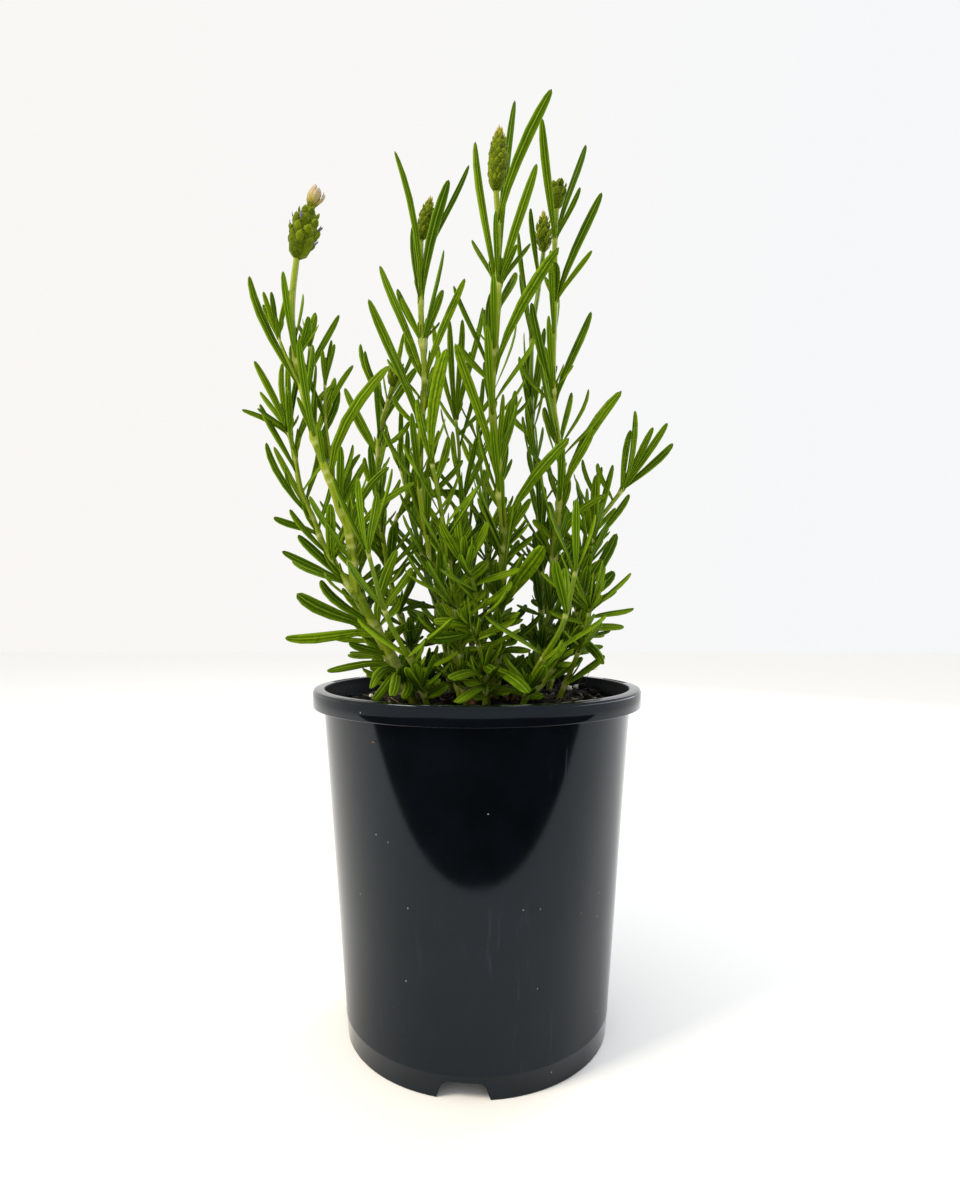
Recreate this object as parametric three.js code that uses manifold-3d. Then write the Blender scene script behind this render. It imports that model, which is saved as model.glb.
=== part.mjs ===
// Potted lavender: a young plant of leafy stems with green flower spikes, growing in a moulded
// nursery pot. Millimetres, +Z up; the origin is the centre of the circle that the pot stands on.
import * as THREE from 'three';
import { mergeVertices } from 'three/addons/utils/BufferGeometryUtils.js';
import Module from 'manifold-3d';

const wasm = await Module();
wasm.setup();

// ---- driving dimensions: the pot -------------------------------------------------------------
const RIM_RADIUS = 82.5;          // 165 mm across the rim
const POT_HEIGHT = 168.5;
const BASE_RADIUS = 64.9;
const WALL = 1.6;
const BAND_HEIGHT = 8.6;          // the skirt that hangs from the rim
const BAND_WALL = 1.6;
const RADIUS_UNDER_BAND = 77.1;
const RIM_RING = 6.1;             // width of the flat ring on top of the rim
const LEDGE_DROPS = [6, 12];      // faint ledges inside the wall, below the rim
const LEDGE_DEPTH = 0.5;
const FLOOR_UNDERSIDE = 7.7;
const FLOOR_THICKNESS = 1.9;
const POT_SIDES = 48;
const NOTCH_TOP = 18;             // drainage notches in the base skirt
const NOTCH_BOTTOM = 25;
const NOTCH_CORNER = 2.5;
const NOTCH_AZIMUTH = 265;        // degrees from +X; the first notch faces the front
const NOTCH_COUNT = 4;
const DRAIN_RADIUS = 5;
const DRAIN_CIRCLE = 47;
const SLOT_INNER = 77.9;          // hanger slots through the rim's top ring
const SLOT_OUTER = 80.4;
const SLOT_SPANS = [[8, 26], [149, 168]];

// ---- driving dimensions: the soil and the plant ----------------------------------------------
const GAP = 0.35;                 // between neighbours that touch on the real thing
const SOIL_TOP = 160;
const SOIL_LUMP = 1.2;
const SOIL_DOME = 1;              // lower at the wall than among the stems
const SOIL_HEAP = { x: 54, y: 40, rise: 3.4, spread: 17 };  // banked up at the back right
const SOIL_SHOULDER = 6;          // below the surface, where the soil's side starts
const SOIL_RINGS = 6;
const SOIL_SIDES = 26;
const FLAT_SLACK = 0.35;          // the flats of the pot's sides stand nearer than its corners
const STEM_SIDES = 4;             // lavender stems are square
const BLADE_THICKNESS = 1.1;
const LONG_BLADE = 52;            // a longer blade is bent in more places
const SHORT_BLADE = 20;
const NODE_SPACING = [17, 36];    // between pairs of leaves, at the foot and higher up a stem
const FIRST_NODE = 8;             // above the soil
const TIP_GAP = 2;                // bare tip of a branch that grows by rule
const BUD_GAP = 45;               // below a spike, where only placed leaves stand
const NODE_SPREAD = [0.85, 0.3];  // least and further share of a spacing
const LEAFY_FOOT = 110;           // over this height the leaves turn from short to long
const PAIR_LEAF = {               // low down and higher up
  length: [26, 40], width: [6, 3.8], lean: [62, 34], spread: [0.85, 0.35], waver: 24,
};
const SIDE_FAN = [62, 56];        // azimuths of the pairs between placed leaves
const AXIL_LEAF = { rise: 1, lean: 40, length: 13, longer: 8, width: 2.6, waver: 60 };
const CROWN_LEAF = { count: 4, lean: 16, further: 10, length: 26, longer: 14, width: 3.6, waver: 30 };
const LEAF_BOW = 0.07;            // of a grown leaf's length
const BOW_SAG = 0.6;
const THIN_SHOOT = 1.3;           // a branch with a thinner root carries only its placed leaves
const SMALL_LEAF_EVERY = 3;       // nodes between the small leaves that sit over a pair
const BLADE_CLEARANCE = 0.45;     // kept between the leaves of neighbouring stems
const PLANT_REACH = { x: 113.6, y: 80, z: 493 };
const OVER_SOIL = 3;              // leaves stay this high over the soil, and over the rim
const OVER_RIM = 3;
const RIM_ZONE = 14;              // inside the rim, where a leaf already passes over it
const SEED = 20;
const SEED_STEP = 101;

// ---- where the stems run ---------------------------------------------------------------------
// Each branch: the node that it belongs to, its half-width at the root and at the top, and its
// route up from the soil or from the branch that carries it.
const BRANCHES = {
  a0: { node: 'stem_left', root: 2.6, top: 2.6, route: [
    [-25, -8, 149], [-37, -14, 172], [-41, -16, 181], [-48, -20, 195], [-60, -24, 218]] },
  a1: { node: 'stem_left', root: 2.4, top: 1.5, route: [
    [-59, -24, 215], [-61, -26, 243], [-65, -27, 254], [-70, -28, 269], [-77, -29, 288],
    [-83, -30, 313], [-85, -30, 323], [-88, -30, 341], [-88, -30, 357], [-86, -30, 375]] },
  a1l: { node: 'stem_left', root: 0.9, top: 0.7, route: [
    [-83, -30, 312], [-89, -34, 325], [-93, -36, 335]] },
  a1r: { node: 'stem_left', root: 0.9, top: 0.7, route: [
    [-83, -30, 312], [-82, -24, 326], [-82, -20, 337]] },
  a2: { node: 'stem_left', root: 1.8, top: 1.1, route: [
    [-60, -24, 216], [-73, -23, 236], [-80, -22, 252], [-86, -21, 266], [-89, -20, 281],
    [-92, -20, 295]] },
  a3: { node: 'stem_left', root: 0.9, top: 0.7, route: [
    [-70, -28, 268], [-71, -25, 282], [-74, -21, 300], [-75, -18, 319]] },
  b: { node: 'stem_bud_left', root: 1.9, top: 1.3, route: [
    [-22, 8, 148], [-25, 8, 160], [-37, 14, 191], [-47, 18, 223], [-53, 20, 256],
    [-55, 20, 273], [-54, 20, 294], [-53, 20, 306], [-48, 20, 323], [-46, 20, 329]] },
  b2: { node: 'stem_bud_left', root: 1.2, top: 1, route: [
    [-47, 18, 221], [-48, 18, 242], [-46, 16, 250], [-42, 14, 259]] },
  c: { node: 'stem_bud_middle', root: 2, top: 1.4, route: [
    [-6, -4, 149], [-9, -4, 166], [-16, -4, 202], [-25, -3, 242], [-29, -2, 268],
    [-29, -2, 297], [-27, -2, 326], [-28, -2, 343], [-29, -2, 364], [-29, -2, 398]] },
  c2: { node: 'stem_front_tall', root: 1.6, top: 1, route: [
    [-4, -20, 149], [-11, -22, 212], [-18, -22, 259], [-22, -22, 279]] },
  d: { node: 'stem_back_centre', root: 1.8, top: 1, route: [
    [-1, 14, 148], [-3, 18, 191], [-5, 22, 249], [-10, 24, 280], [-10, 24, 295],
    [-12, 24, 313]] },
  e: { node: 'stem_tall', root: 3, top: 1.7, route: [
    [8, 4, 148], [11, 4, 197], [14, 4, 247], [12, 4, 265], [11, 4, 282], [8, 4, 311],
    [8, 4, 330], [10, 4, 354], [11, 4, 376], [11, 4, 410], [10, 4, 427]] },
  f: { node: 'stem_bud_right', root: 2.2, top: 1.5, route: [
    [23, 12, 148], [26, 14, 162], [39, 20, 202], [42, 24, 235], [46, 24, 278],
    [44, 24, 306], [42, 24, 321], [42, 24, 351], [43, 24, 377], [43, 24, 412],
    [44, 24, 429]] },
  g: { node: 'stem_bud_back', root: 1.9, top: 1.3, route: [
    [22, 26, 149], [26, 32, 162], [36, 40, 184], [37, 46, 213], [37, 50, 245],
    [36, 50, 278], [32, 50, 319], [32, 50, 365], [36, 50, 396], [39, 50, 418]] },
  h: { node: 'stem_right', root: 2, top: 1.1, route: [
    [23, -8, 149], [27, -6, 163], [38, 0, 176], [44, 4, 185], [47, 8, 192], [52, 12, 202],
    [55, 16, 210], [60, 24, 232], [65, 30, 249], [69, 34, 258], [76, 38, 267],
    [83, 42, 276], [90, 44, 288]] },
  i: { node: 'stem_front_left', root: 1.6, top: 1.1, route: [
    [3, -24, 149], [4, -27, 174], [0, -30, 193], [-3, -32, 200]] },
  j: { node: 'stem_front_right', root: 1.6, top: 1.1, route: [
    [6, -12, 149], [4, -16, 182], [0, -21, 202], [-1, -24, 217], [-5, -26, 228]] },
  k: { node: 'stem_back_left', root: 1.8, top: 1, route: [
    [-12, 26, 148], [-20, 36, 195], [-34, 50, 245], [-46, 58, 292]] },
  l: { node: 'stem_back_middle', root: 1.8, top: 1, route: [
    [4, 36, 148], [4, 50, 195], [6, 60, 250], [0, 64, 312]] },
  m: { node: 'stem_back_right', root: 1.8, top: 1, route: [
    [36, 27, 148], [48, 42, 190], [60, 55, 228], [66, 60, 262]] },
  n: { node: 'stem_side_left', root: 1.8, top: 1, route: [
    [-34, 10, 148], [-47, 18, 182], [-64, 28, 218], [-73, 32, 258]] },
  o: { node: 'stem_side_right', root: 1.8, top: 1, route: [
    [37, 6, 148], [46, 1, 170], [53, -5, 190], [57, -8, 208]] },
  p: { node: 'stem_low_left', root: 1.7, top: 1, route: [
    [-20, -24, 148], [-28, -38, 178], [-40, -52, 205], [-48, -56, 234]] },
  q: { node: 'stem_low_right', root: 1.7, top: 1, route: [
    [18, -24, 148], [26, -36, 176], [38, -50, 200], [44, -54, 226]] },
};

// ---- the leaves that are placed one by one ---------------------------------------------------
// For each branch: the height of the leaf's base, its tip (x, y, z), its width, how far its
// middle bows to the left of the line from base to tip, and its roll towards the front.
const LEAVES = {
  a0: [[201, -72, -40, 221, 5.4, 3.5, 30], [198, -84, -36, 215, 6.6, 3.5, 35],
    [196, -91, -30, 194, 5.2, 2.5, 20], [185, -60, -34, 192, 4.6, 1, 25],
    [182, -64, -10, 186, 3, 0, 25], [180, -72, -26, 178, 4.4, -1, 20],
    [176, -46, -56, 173, 5, -4, 30], [176, -44, -64, 169, 5, 1, 30],
    [174, -36, -66, 171, 5, 2, 30], [172, -32, -60, 169, 5, 5, 30],
    [170, -18, -52, 172, 5, 3, 30], [196, -38, -30, 236, 5.2, 2.5, 50]],
  a1: [[312, -106, -38, 363, 4, 4.5, 40], [312, -68, -18, 353, 3.2, 0, 20],
    [269, -40, -46, 318, 5.5, 5.5, 50], [274, -74, -38, 294, 2.6, 0, 20],
    [288, -79, -22, 312, 2.4, 0, 20], [288, -84, -36, 307, 2.4, 0, 20],
    [243, -58, -14, 285, 3.4, 8, 30], [243, -41, -36, 274, 3.6, 4, 40],
    [238, -28, -46, 265, 3.4, 4, 40]],
  a1l: [[334, -97, -46, 352, 2.6, 0, 20], [334, -96, -37, 356, 2.6, 0, 20],
    [334, -102, -30, 353, 2.6, 0, 20], [334, -87, -41, 355, 2.6, 0, 20]],
  a1r: [[336, -86, -27, 345, 2.6, 0, 20], [336, -83, -18, 352, 2.6, 0, 20],
    [336, -83, -11, 353, 2.6, 0, 20], [336, -78, -23, 351, 2.6, 0, 20]],
  a2: [[294, -106, -30, 326, 3.6, -0.5, 25], [293, -110, -8, 318, 3, 0, 25],
    [292, -113.6, -25, 304, 3, -1.5, 20], [294, -102, -38, 301, 2.6, 0, 20],
    [292, -112, -2, 307, 2.6, 0, 20], [295, -98, -10, 332, 3, 2.5, 20],
    [295, -91, -28, 325, 3, 0, 20], [295, -86, -18, 332, 3, 0.8, 20],
    [281, -72, -6, 323, 4, 5, 40], [252, -99, -34, 286, 3.4, 4, 25],
    [252, -103, -8, 290, 3.2, 0.5, 25], [244, -96, -32, 251, 3.6, 1, 25],
    [221, -83, -38, 242, 5, 0, 30], [219, -92, -32, 235, 3.8, 0.5, 25],
    [219, -93, -10, 232, 3.6, 1.5, 25]],
  a3: [[300, -86, -24, 332, 2.8, 1, 25], [300, -62, -12, 330, 2.8, 1.5, 25],
    [318, -71, -14, 340, 2.4, 0, 20], [318, -71, -22, 339, 2.4, 0, 20],
    [318, -74, -28, 332, 2.4, 0, 20]],
  b: [[318, -60, 12, 346, 3, 3, 25], [307, -34, 32, 344, 4.8, 1, 40],
    [322, -35, 12, 344, 3, -1.5, 25], [296, -42, 36, 365, 3, -1, 25],
    [292, -74, 28, 331, 4.2, 1.5, 25], [294, -36, 8, 307, 3.4, -3, 25]],
  b2: [[257, -14, 2, 286, 4.2, 4.5, 35], [257, -5, 28, 272, 3.8, 6, 30]],
  c: [[365, -40.7, -19, 434, 3.4, -4.5, 35], [384, -4, -14, 430, 3, -1, 25],
    [367, -14, -15, 422, 5.4, 2, 55], [344, -38, -12, 364, 3.4, 0, 30],
    [343, -18, 8, 377, 4.4, 0, 30], [326, -52, 10, 391, 4.2, 1, 35],
    [326, -6, -16, 372, 4, 0.5, 35], [301, -53, -22, 359, 4.8, 0.5, 40],
    [367, -33.5, 4, 410, 4.2, 1.5, 45]],
  c2: [[278, -14, -38, 329, 6.4, 3, 70], [278, -30, -12, 313, 3.8, 1, 30]],
  d: [[312, -15, 18, 365, 3.6, 0.5, 40], [312, -25, 34, 369, 3.6, 2, 30],
    [312, 3, 32, 378, 3.8, -2, 35], [312, -8, 12, 363, 3.6, -1, 40],
    [312, -4, 24, 350, 3.2, -1.5, 30]],
  e: [[410, 38, -9, 472, 5.6, 2.7, 40], [382, 21, 28, 493, 4.2, 1.5, 30],
    [376, -1, 12, 459, 4.6, 2.5, 35], [376, 30, -12, 432, 5, 0, 40],
    [376, -3, 22, 411, 2.8, 0.5, 25], [376, 29, 18, 407, 2.8, 0, 25],
    [365, 21, 22, 393, 5, -1, 20], [376, 20, -12, 391, 2.8, 0, 20],
    [330, 41, -15, 388, 5.8, 3, 45], [330, 8, 18, 381, 4, 3, 30],
    [330, -12, -6, 373, 3.2, 1, 25], [282, -11, -12, 341, 5.2, 0.5, 40],
    [282, 20.5, 16, 326, 4.6, -3, 30], [282, 13, -14, 315, 3, 0, 20],
    [282, 17, -4, 314, 3, 0, 20], [249, 45, -22, 291, 6, 2.5, 45],
    [206, 31, -38, 237, 8, -0.5, 50], [198, 20, -30, 205, 5, 2, 25],
    [182, 25, -34, 188, 5, 2, 25]],
  f: [[412, 35, 14, 473, 4.8, 1, 30], [412, 62, 36, 473, 4.2, -0.5, 30],
    [412, 55, 10, 433, 3, -1, 25], [377, 70, 30, 442, 5.2, 0.5, 40], [377, 61, 8, 398, 3, 0, 25],
    [377, 39, 38, 398, 3.4, 0, 20], [377, 41, 6, 391, 6, 0, 0], [321, 65, 38, 378, 4.8, -1, 35],
    [321, 29, 12, 372, 4.6, 1, 35], [264, 79, 20, 327, 6, 5, 45],
    [272, 61, 4, 302, 4.4, -0.5, 35], [297, 38, 34, 322, 4.2, 1.5, 25],
    [240, 67, 0, 267, 4.6, 5.5, 35], [214, 50, -2, 241, 6.8, 0, 40]],
  g: [[400, 31, 44, 441, 3.6, 1, 25], [366, 24, 44, 427, 3.4, 1.5, 25],
    [319, 30, 42, 357, 4, 3.5, 30], [319, 38, 58, 366, 4.8, -1, 30]],
  h: [[277, 113.6, 45, 304, 4.6, -2, 40], [276, 113.6, 57, 319, 4.2, -0.5, 35],
    [277, 99, 32, 310, 4, 0, 30], [277, 93, 52, 325, 4, -2, 30],
    [275, 86, 30, 308, 3.8, 1.5, 30], [246, 65, 20, 281, 5.2, 0.3, 30],
    [246, 78, 42, 291, 4.2, 0, 25], [211, 78, 30, 250, 5.8, -1.5, 35],
    [211, 66, 8, 234, 5, 1, 35], [202, 78, 30, 218, 3.6, 0.5, 25], [193, 80, 20, 198, 5, 2, 20],
    [189, 59, -8, 197, 4.6, 2, 25], [192, 72, 36, 193, 4, 0, 25],
    [193, 63, -12, 180, 4.8, 3, 20], [184, 70, 28, 187, 3.8, 0, 25],
    [195, 66, 46, 200, 3.8, 0, 25], [180, 46, -28, 188, 4.4, 0, 25],
    [177, 44, -34, 182, 4.4, 0, 20], [210, 58, -4, 236, 5.4, 1, 35],
    [243, 85, 30, 272, 4.2, -1.5, 30]],
  i: [[199, -19, -50, 202, 5, -1, 25], [196, -23, -42, 195, 6, 2, 25],
    [191, 7, -60, 197, 6, 0, 0], [177, 23, -58, 171, 6, 3.5, 25],
    [175, -12, -56, 177, 6, -2, 25], [169, -9, -64, 168, 5, 0, 20]],
  j: [[227, -17, -34, 248, 4.2, 1, 35], [227, -10, -22, 258, 3.8, 1.5, 30],
    [227, -6, -42, 241, 4, 0, 25], [227, 5, -32, 249, 4, -0.5, 30],
    [227, 5, -12, 247, 3.6, 0, 25]],
};

// ---- the flower spikes: base, tip, half-width, rows of bracts and bracts in a row --------------
const SPIKES = {
  spike_open: { base: [-86, -30, 375.4], tip: [-79, -30, 401], radius: 6.4, rows: 6, around: 6 },
  spike_left: { base: [-46, 20, 329.4], tip: [-43, 20, 343.5], radius: 4.3, rows: 4, around: 5 },
  spike_middle: { base: [-29, -2, 398.4], tip: [-24, -2, 420], radius: 3.8, rows: 5, around: 5 },
  spike_tall: { base: [10, 4, 427.4], tip: [12, 4, 461], radius: 5.2, rows: 8, around: 5 },
  spike_right: { base: [44, 24, 429.4], tip: [45.5, 24, 446.5], radius: 4, rows: 4, around: 5 },
  spike_back: { base: [39, 50, 418.4], tip: [39, 50, 441], radius: 4, rows: 5, around: 5 },
  bud_right: { base: [90, 44, 288.4], tip: [92.5, 45, 295], radius: 1.7, rows: 1, around: 3 },
};
const SPIKE_PROFILE = [[0, 0.42], [0.1, 0.8], [0.35, 0.92], [0.65, 0.78], [0.9, 0.42], [1, 0.16]];
const BRACT_RISE = 1.6;           // how far a bract's point stands above its row
const TUFT = {
  bracts: 4, length: 9.5, width: 3, thickness: 0.8, lean: 0.22, top: [-76, -30, 412],
};

// ---- pruned woody stubs at the foot of the stems: place, height above the soil, half-widths ----
const STUBS = {
  stub_front: { at: [-1, -10], lean: [1, -2], rise: 8, root: 3, top: 2.2 },
  stub_right: { at: [17, -2], lean: [2, -1], rise: 10, root: 3, top: 2.3 },
};
const STUB_ROOT = 8;              // how deep a stub's foot goes

// ---- materials -------------------------------------------------------------------------------
const finish = (color, roughness) => new THREE.MeshStandardMaterial({
  color, roughness, metalness: 0, side: THREE.DoubleSide,
});
const POT_PLASTIC = finish('#12161b', 0.35);
const PEAT = finish('#1d1812', 0.95);
const LEAF_GREEN = finish('#45701a', 0.6);
const SPIKE_GREEN = finish('#5c7a1a', 0.65);
const TUFT_CREAM = finish('#cfc39a', 0.6);
const BARK = finish('#6b4a28', 0.9);

// ---- small tools -----------------------------------------------------------------------------
const vec = (p) => new THREE.Vector3(p[0], p[1], p[2]);
const radians = THREE.MathUtils.degToRad;
const lerp = THREE.MathUtils.lerp;

// A seeded draw of numbers from 0 to 1.
function seeded(seed) {
  let state = seed >>> 0;
  return () => {
    state = (state + 0x6d2b79f5) >>> 0;
    let t = Math.imul(state ^ (state >>> 15), state | 1);
    t = (t + Math.imul(t ^ (t >>> 7), t | 61)) ^ t;
    return ((t ^ (t >>> 14)) >>> 0) / 4294967296;
  };
}

// A closed geometry as a solid that can be joined and cut.
function toSolid(geometry) {
  const bare = geometry.clone();
  bare.deleteAttribute('normal');
  bare.deleteAttribute('uv');
  const merged = mergeVertices(bare, 1e-4);
  return new wasm.Manifold(new wasm.Mesh({
    numProp: 3,
    vertProperties: new Float32Array(merged.attributes.position.array),
    triVerts: new Uint32Array(merged.index.array),
  }));
}

// A solid back as a named mesh.
function toMesh(name, solid, material) {
  const data = solid.getMesh();
  const geometry = new THREE.BufferGeometry();
  geometry.setAttribute('position', new THREE.BufferAttribute(data.vertProperties, 3));
  geometry.setIndex(new THREE.BufferAttribute(data.triVerts, 1));
  geometry.computeVertexNormals();
  const mesh = new THREE.Mesh(geometry, material);
  mesh.name = name;
  return mesh;
}

// Pairwise joins keep the work even, however many solids there are.
function join(solids) {
  if (solids.length === 1) return solids[0];
  const half = solids.length >> 1;
  return join(solids.slice(0, half)).add(join(solids.slice(half)));
}

// A closed skin over rings with the same number of points; a last ring of one point is a tip.
function loft(rings) {
  const sides = rings[0].length;
  const points = rings.flat();
  const index = [];
  for (let side = 2; side < sides; side += 1) index.push(0, side, side - 1);
  let start = 0;
  for (let ring = 1; ring < rings.length; ring += 1) {
    const next = start + sides;
    for (let side = 0; side < sides; side += 1) {
      const other = (side + 1) % sides;
      if (rings[ring].length === 1) {
        index.push(start + side, start + other, next);
      } else {
        index.push(start + side, start + other, next + other);
        index.push(start + side, next + other, next + side);
      }
    }
    start = next;
  }
  if (rings.at(-1).length > 1) {
    for (let side = 2; side < sides; side += 1) index.push(start, start + side - 1, start + side);
  }
  const geometry = new THREE.BufferGeometry().setFromPoints(points);
  geometry.setIndex(index);
  return geometry;
}

// A regular section of a stem or stub, square to the direction that it runs in.
function section(centre, direction, radius, sides) {
  const across = new THREE.Vector3(1, 0, 0).addScaledVector(direction, -direction.x).normalize();
  const along = direction.clone().cross(across);
  const ring = [];
  for (let side = 0; side < sides; side += 1) {
    const angle = (side / sides) * 2 * Math.PI;
    ring.push(centre.clone()
      .addScaledVector(across, radius * Math.cos(angle))
      .addScaledVector(along, radius * Math.sin(angle)));
  }
  return ring;
}

// A rod through the points, tapering evenly from one half-width to the other.
function rod(points, rootRadius, topRadius, sides) {
  const last = points.length - 1;
  return toSolid(loft(points.map((point, i) => {
    const ahead = points[Math.min(i + 1, last)];
    const behind = points[Math.max(i - 1, 0)];
    const direction = ahead.clone().sub(behind).normalize();
    return section(point, direction, lerp(rootRadius, topRadius, i / last), sides);
  })));
}

// ---- the pot ---------------------------------------------------------------------------------
function wallRadius(height) {
  const bandFoot = POT_HEIGHT - BAND_HEIGHT;
  return BASE_RADIUS + (RADIUS_UNDER_BAND - BASE_RADIUS) * (height / bandFoot);
}

function potProfile() {
  const underRing = POT_HEIGHT - BAND_WALL;
  const bandFoot = POT_HEIGHT - BAND_HEIGHT;
  const floorTop = FLOOR_UNDERSIDE + FLOOR_THICKNESS;
  const inner = (height) => wallRadius(height) - WALL;
  const ledges = LEDGE_DROPS.flatMap((drop, step) => {
    const height = POT_HEIGHT - drop;
    const stepIn = LEDGE_DEPTH * (LEDGE_DROPS.length - step);
    return [[inner(height) + stepIn, height + 0.4],
      [inner(height) + stepIn - LEDGE_DEPTH, height]];
  });
  return [
    [0, FLOOR_UNDERSIDE],
    [BASE_RADIUS - 2, FLOOR_UNDERSIDE],
    [BASE_RADIUS - 2.2, 0],
    [BASE_RADIUS, 0],
    [wallRadius(underRing), underRing],
    [RIM_RADIUS - BAND_WALL, underRing],
    [RIM_RADIUS - BAND_WALL - 0.3, bandFoot],
    [RIM_RADIUS - 0.3, bandFoot],
    [RIM_RADIUS, POT_HEIGHT - 2],
    [RIM_RADIUS - 0.5, POT_HEIGHT - 1.8],
    [RIM_RADIUS - 0.7, POT_HEIGHT],
    [RIM_RADIUS - RIM_RING, POT_HEIGHT],
    ...ledges,
    [inner(floorTop), floorTop],
    [0, floorTop],
  ].map(([radius, height]) => new THREE.Vector2(radius, height));
}

// LatheGeometry turns about Y; the solid is stood up on Z.
function lathe(profile, sides) {
  return new THREE.LatheGeometry(profile, sides).rotateX(Math.PI / 2);
}

function notchCutter(azimuth) {
  const top = FLOOR_UNDERSIDE;
  const shape = new THREE.Shape();
  shape.moveTo(-NOTCH_BOTTOM / 2 - 0.5, -1);
  shape.lineTo(NOTCH_BOTTOM / 2 + 0.5, -1);
  shape.lineTo(NOTCH_TOP / 2 + 0.6, top - NOTCH_CORNER);
  shape.quadraticCurveTo(NOTCH_TOP / 2, top, NOTCH_TOP / 2 - NOTCH_CORNER, top);
  shape.lineTo(-NOTCH_TOP / 2 + NOTCH_CORNER, top);
  shape.quadraticCurveTo(-NOTCH_TOP / 2, top, -NOTCH_TOP / 2 - 0.6, top - NOTCH_CORNER);
  shape.closePath();
  const cutter = new THREE.ExtrudeGeometry(shape, {
    depth: 14, bevelEnabled: false, curveSegments: 3,
  });
  cutter.rotateX(Math.PI / 2).rotateZ(Math.PI / 2);
  cutter.translate(BASE_RADIUS - 8, 0, 0).rotateZ(radians(azimuth));
  return toSolid(cutter);
}

function drainCutter(azimuth) {
  const drain = new THREE.CylinderGeometry(DRAIN_RADIUS, DRAIN_RADIUS, 12, 12);
  drain.rotateX(Math.PI / 2).translate(DRAIN_CIRCLE, 0, FLOOR_UNDERSIDE);
  return toSolid(drain.rotateZ(radians(azimuth)));
}

function slotCutter([from, to]) {
  const shape = new THREE.Shape();
  shape.absarc(0, 0, SLOT_OUTER, radians(from), radians(to), false);
  shape.absarc(0, 0, SLOT_INNER, radians(to), radians(from), true);
  shape.closePath();
  const cutter = new THREE.ExtrudeGeometry(shape, {
    depth: 4, bevelEnabled: false, curveSegments: 6,
  });
  return toSolid(cutter.translate(0, 0, POT_HEIGHT - 3));
}

function pot() {
  let solid = toSolid(lathe(potProfile(), POT_SIDES));
  for (let notch = 0; notch < NOTCH_COUNT; notch += 1) {
    const azimuth = NOTCH_AZIMUTH + (360 / NOTCH_COUNT) * notch;
    solid = solid.subtract(notchCutter(azimuth)).subtract(drainCutter(azimuth));
  }
  for (const span of SLOT_SPANS) solid = solid.subtract(slotCutter(span));
  return toMesh('pot', solid, POT_PLASTIC);
}

// ---- the soil --------------------------------------------------------------------------------
// The surface is lumpy, a little higher among the stems than at the wall, with one heap.
function soilHeight(x, y) {
  const lumps = Math.sin(0.21 * x + 0.9) * Math.cos(0.17 * y) + 0.6 * Math.sin(0.33 * y - 0.12 * x);
  const { rise, spread } = SOIL_HEAP;
  const away = Math.hypot(x - SOIL_HEAP.x, y - SOIL_HEAP.y) / spread;
  const heap = rise * Math.exp(-away * away / 2);
  return SOIL_TOP + SOIL_LUMP * lumps + heap - SOIL_DOME * ((x * x + y * y) / BASE_RADIUS ** 2);
}

function soil(holes) {
  const floorTop = FLOOR_UNDERSIDE + FLOOR_THICKNESS + GAP;
  const rings = [];
  const circle = (radius, height) => Array.from({ length: SOIL_SIDES }, (_, side) => {
    const angle = (side / SOIL_SIDES) * 2 * Math.PI;
    const x = radius * Math.cos(angle);
    const y = radius * Math.sin(angle);
    return new THREE.Vector3(x, y, height ?? soilHeight(x, y));
  });
  const edge = (height) => wallRadius(height) - WALL - GAP - FLAT_SLACK;
  rings.push(circle(edge(floorTop), floorTop));
  for (let ring = SOIL_RINGS; ring > 0; ring -= 1) {
    rings.push(circle((edge(SOIL_TOP - SOIL_SHOULDER) * ring) / SOIL_RINGS));
  }
  rings.push([new THREE.Vector3(0, 0, soilHeight(0, 0))]);
  return toMesh('soil', toSolid(loft(rings)).subtract(join(holes)), PEAT);
}

// ---- stems and stubs -------------------------------------------------------------------------
const hasOwnHole = (branch) => branch.route[0][2] < SOIL_TOP - 4;

function stemSolid(branch) {
  return rod(branch.route.map(vec), branch.root, branch.top, STEM_SIDES);
}

// The hole that a rod from below the surface stands in, open above the soil.
function holeFor(start, next, radius, sides) {
  const direction = next.clone().sub(start).normalize();
  const foot = start.clone().addScaledVector(direction, -0.4);
  const mouth = start.clone().addScaledVector(direction, 30);
  return rod([foot, mouth], radius + GAP + 0.2, radius + GAP + 0.2, sides);
}

function stubPoints(stub) {
  const foot = SOIL_TOP - STUB_ROOT;
  return [
    new THREE.Vector3(stub.at[0], stub.at[1], foot),
    new THREE.Vector3(stub.at[0] + stub.lean[0] / 2, stub.at[1] + stub.lean[1] / 2, SOIL_TOP + 2),
    new THREE.Vector3(stub.at[0] + stub.lean[0], stub.at[1] + stub.lean[1], SOIL_TOP + stub.rise),
  ];
}

// The point on a branch's route at a height.
function pointAt(branch, height) {
  const { route } = branch;
  for (let i = 1; i < route.length; i += 1) {
    const [low, high] = [route[i - 1], route[i]];
    if (height <= high[2] || i === route.length - 1) {
      const share = Math.min(Math.max((height - low[2]) / (high[2] - low[2]), 0), 1);
      return vec(low).lerp(vec(high), share);
    }
  }
  return vec(route[0]);
}

// ---- leaves ----------------------------------------------------------------------------------
// A leaf is a bowed centre line with a width and a roll. `bend` is the bow's control point.
function placedLeaf(branch, [height, x, y, z, width, bow, roll]) {
  const base = pointAt(branch, height);
  const tip = new THREE.Vector3(x, y, z);
  return { base, tip, bow, width, roll, traced: true };
}

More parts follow.
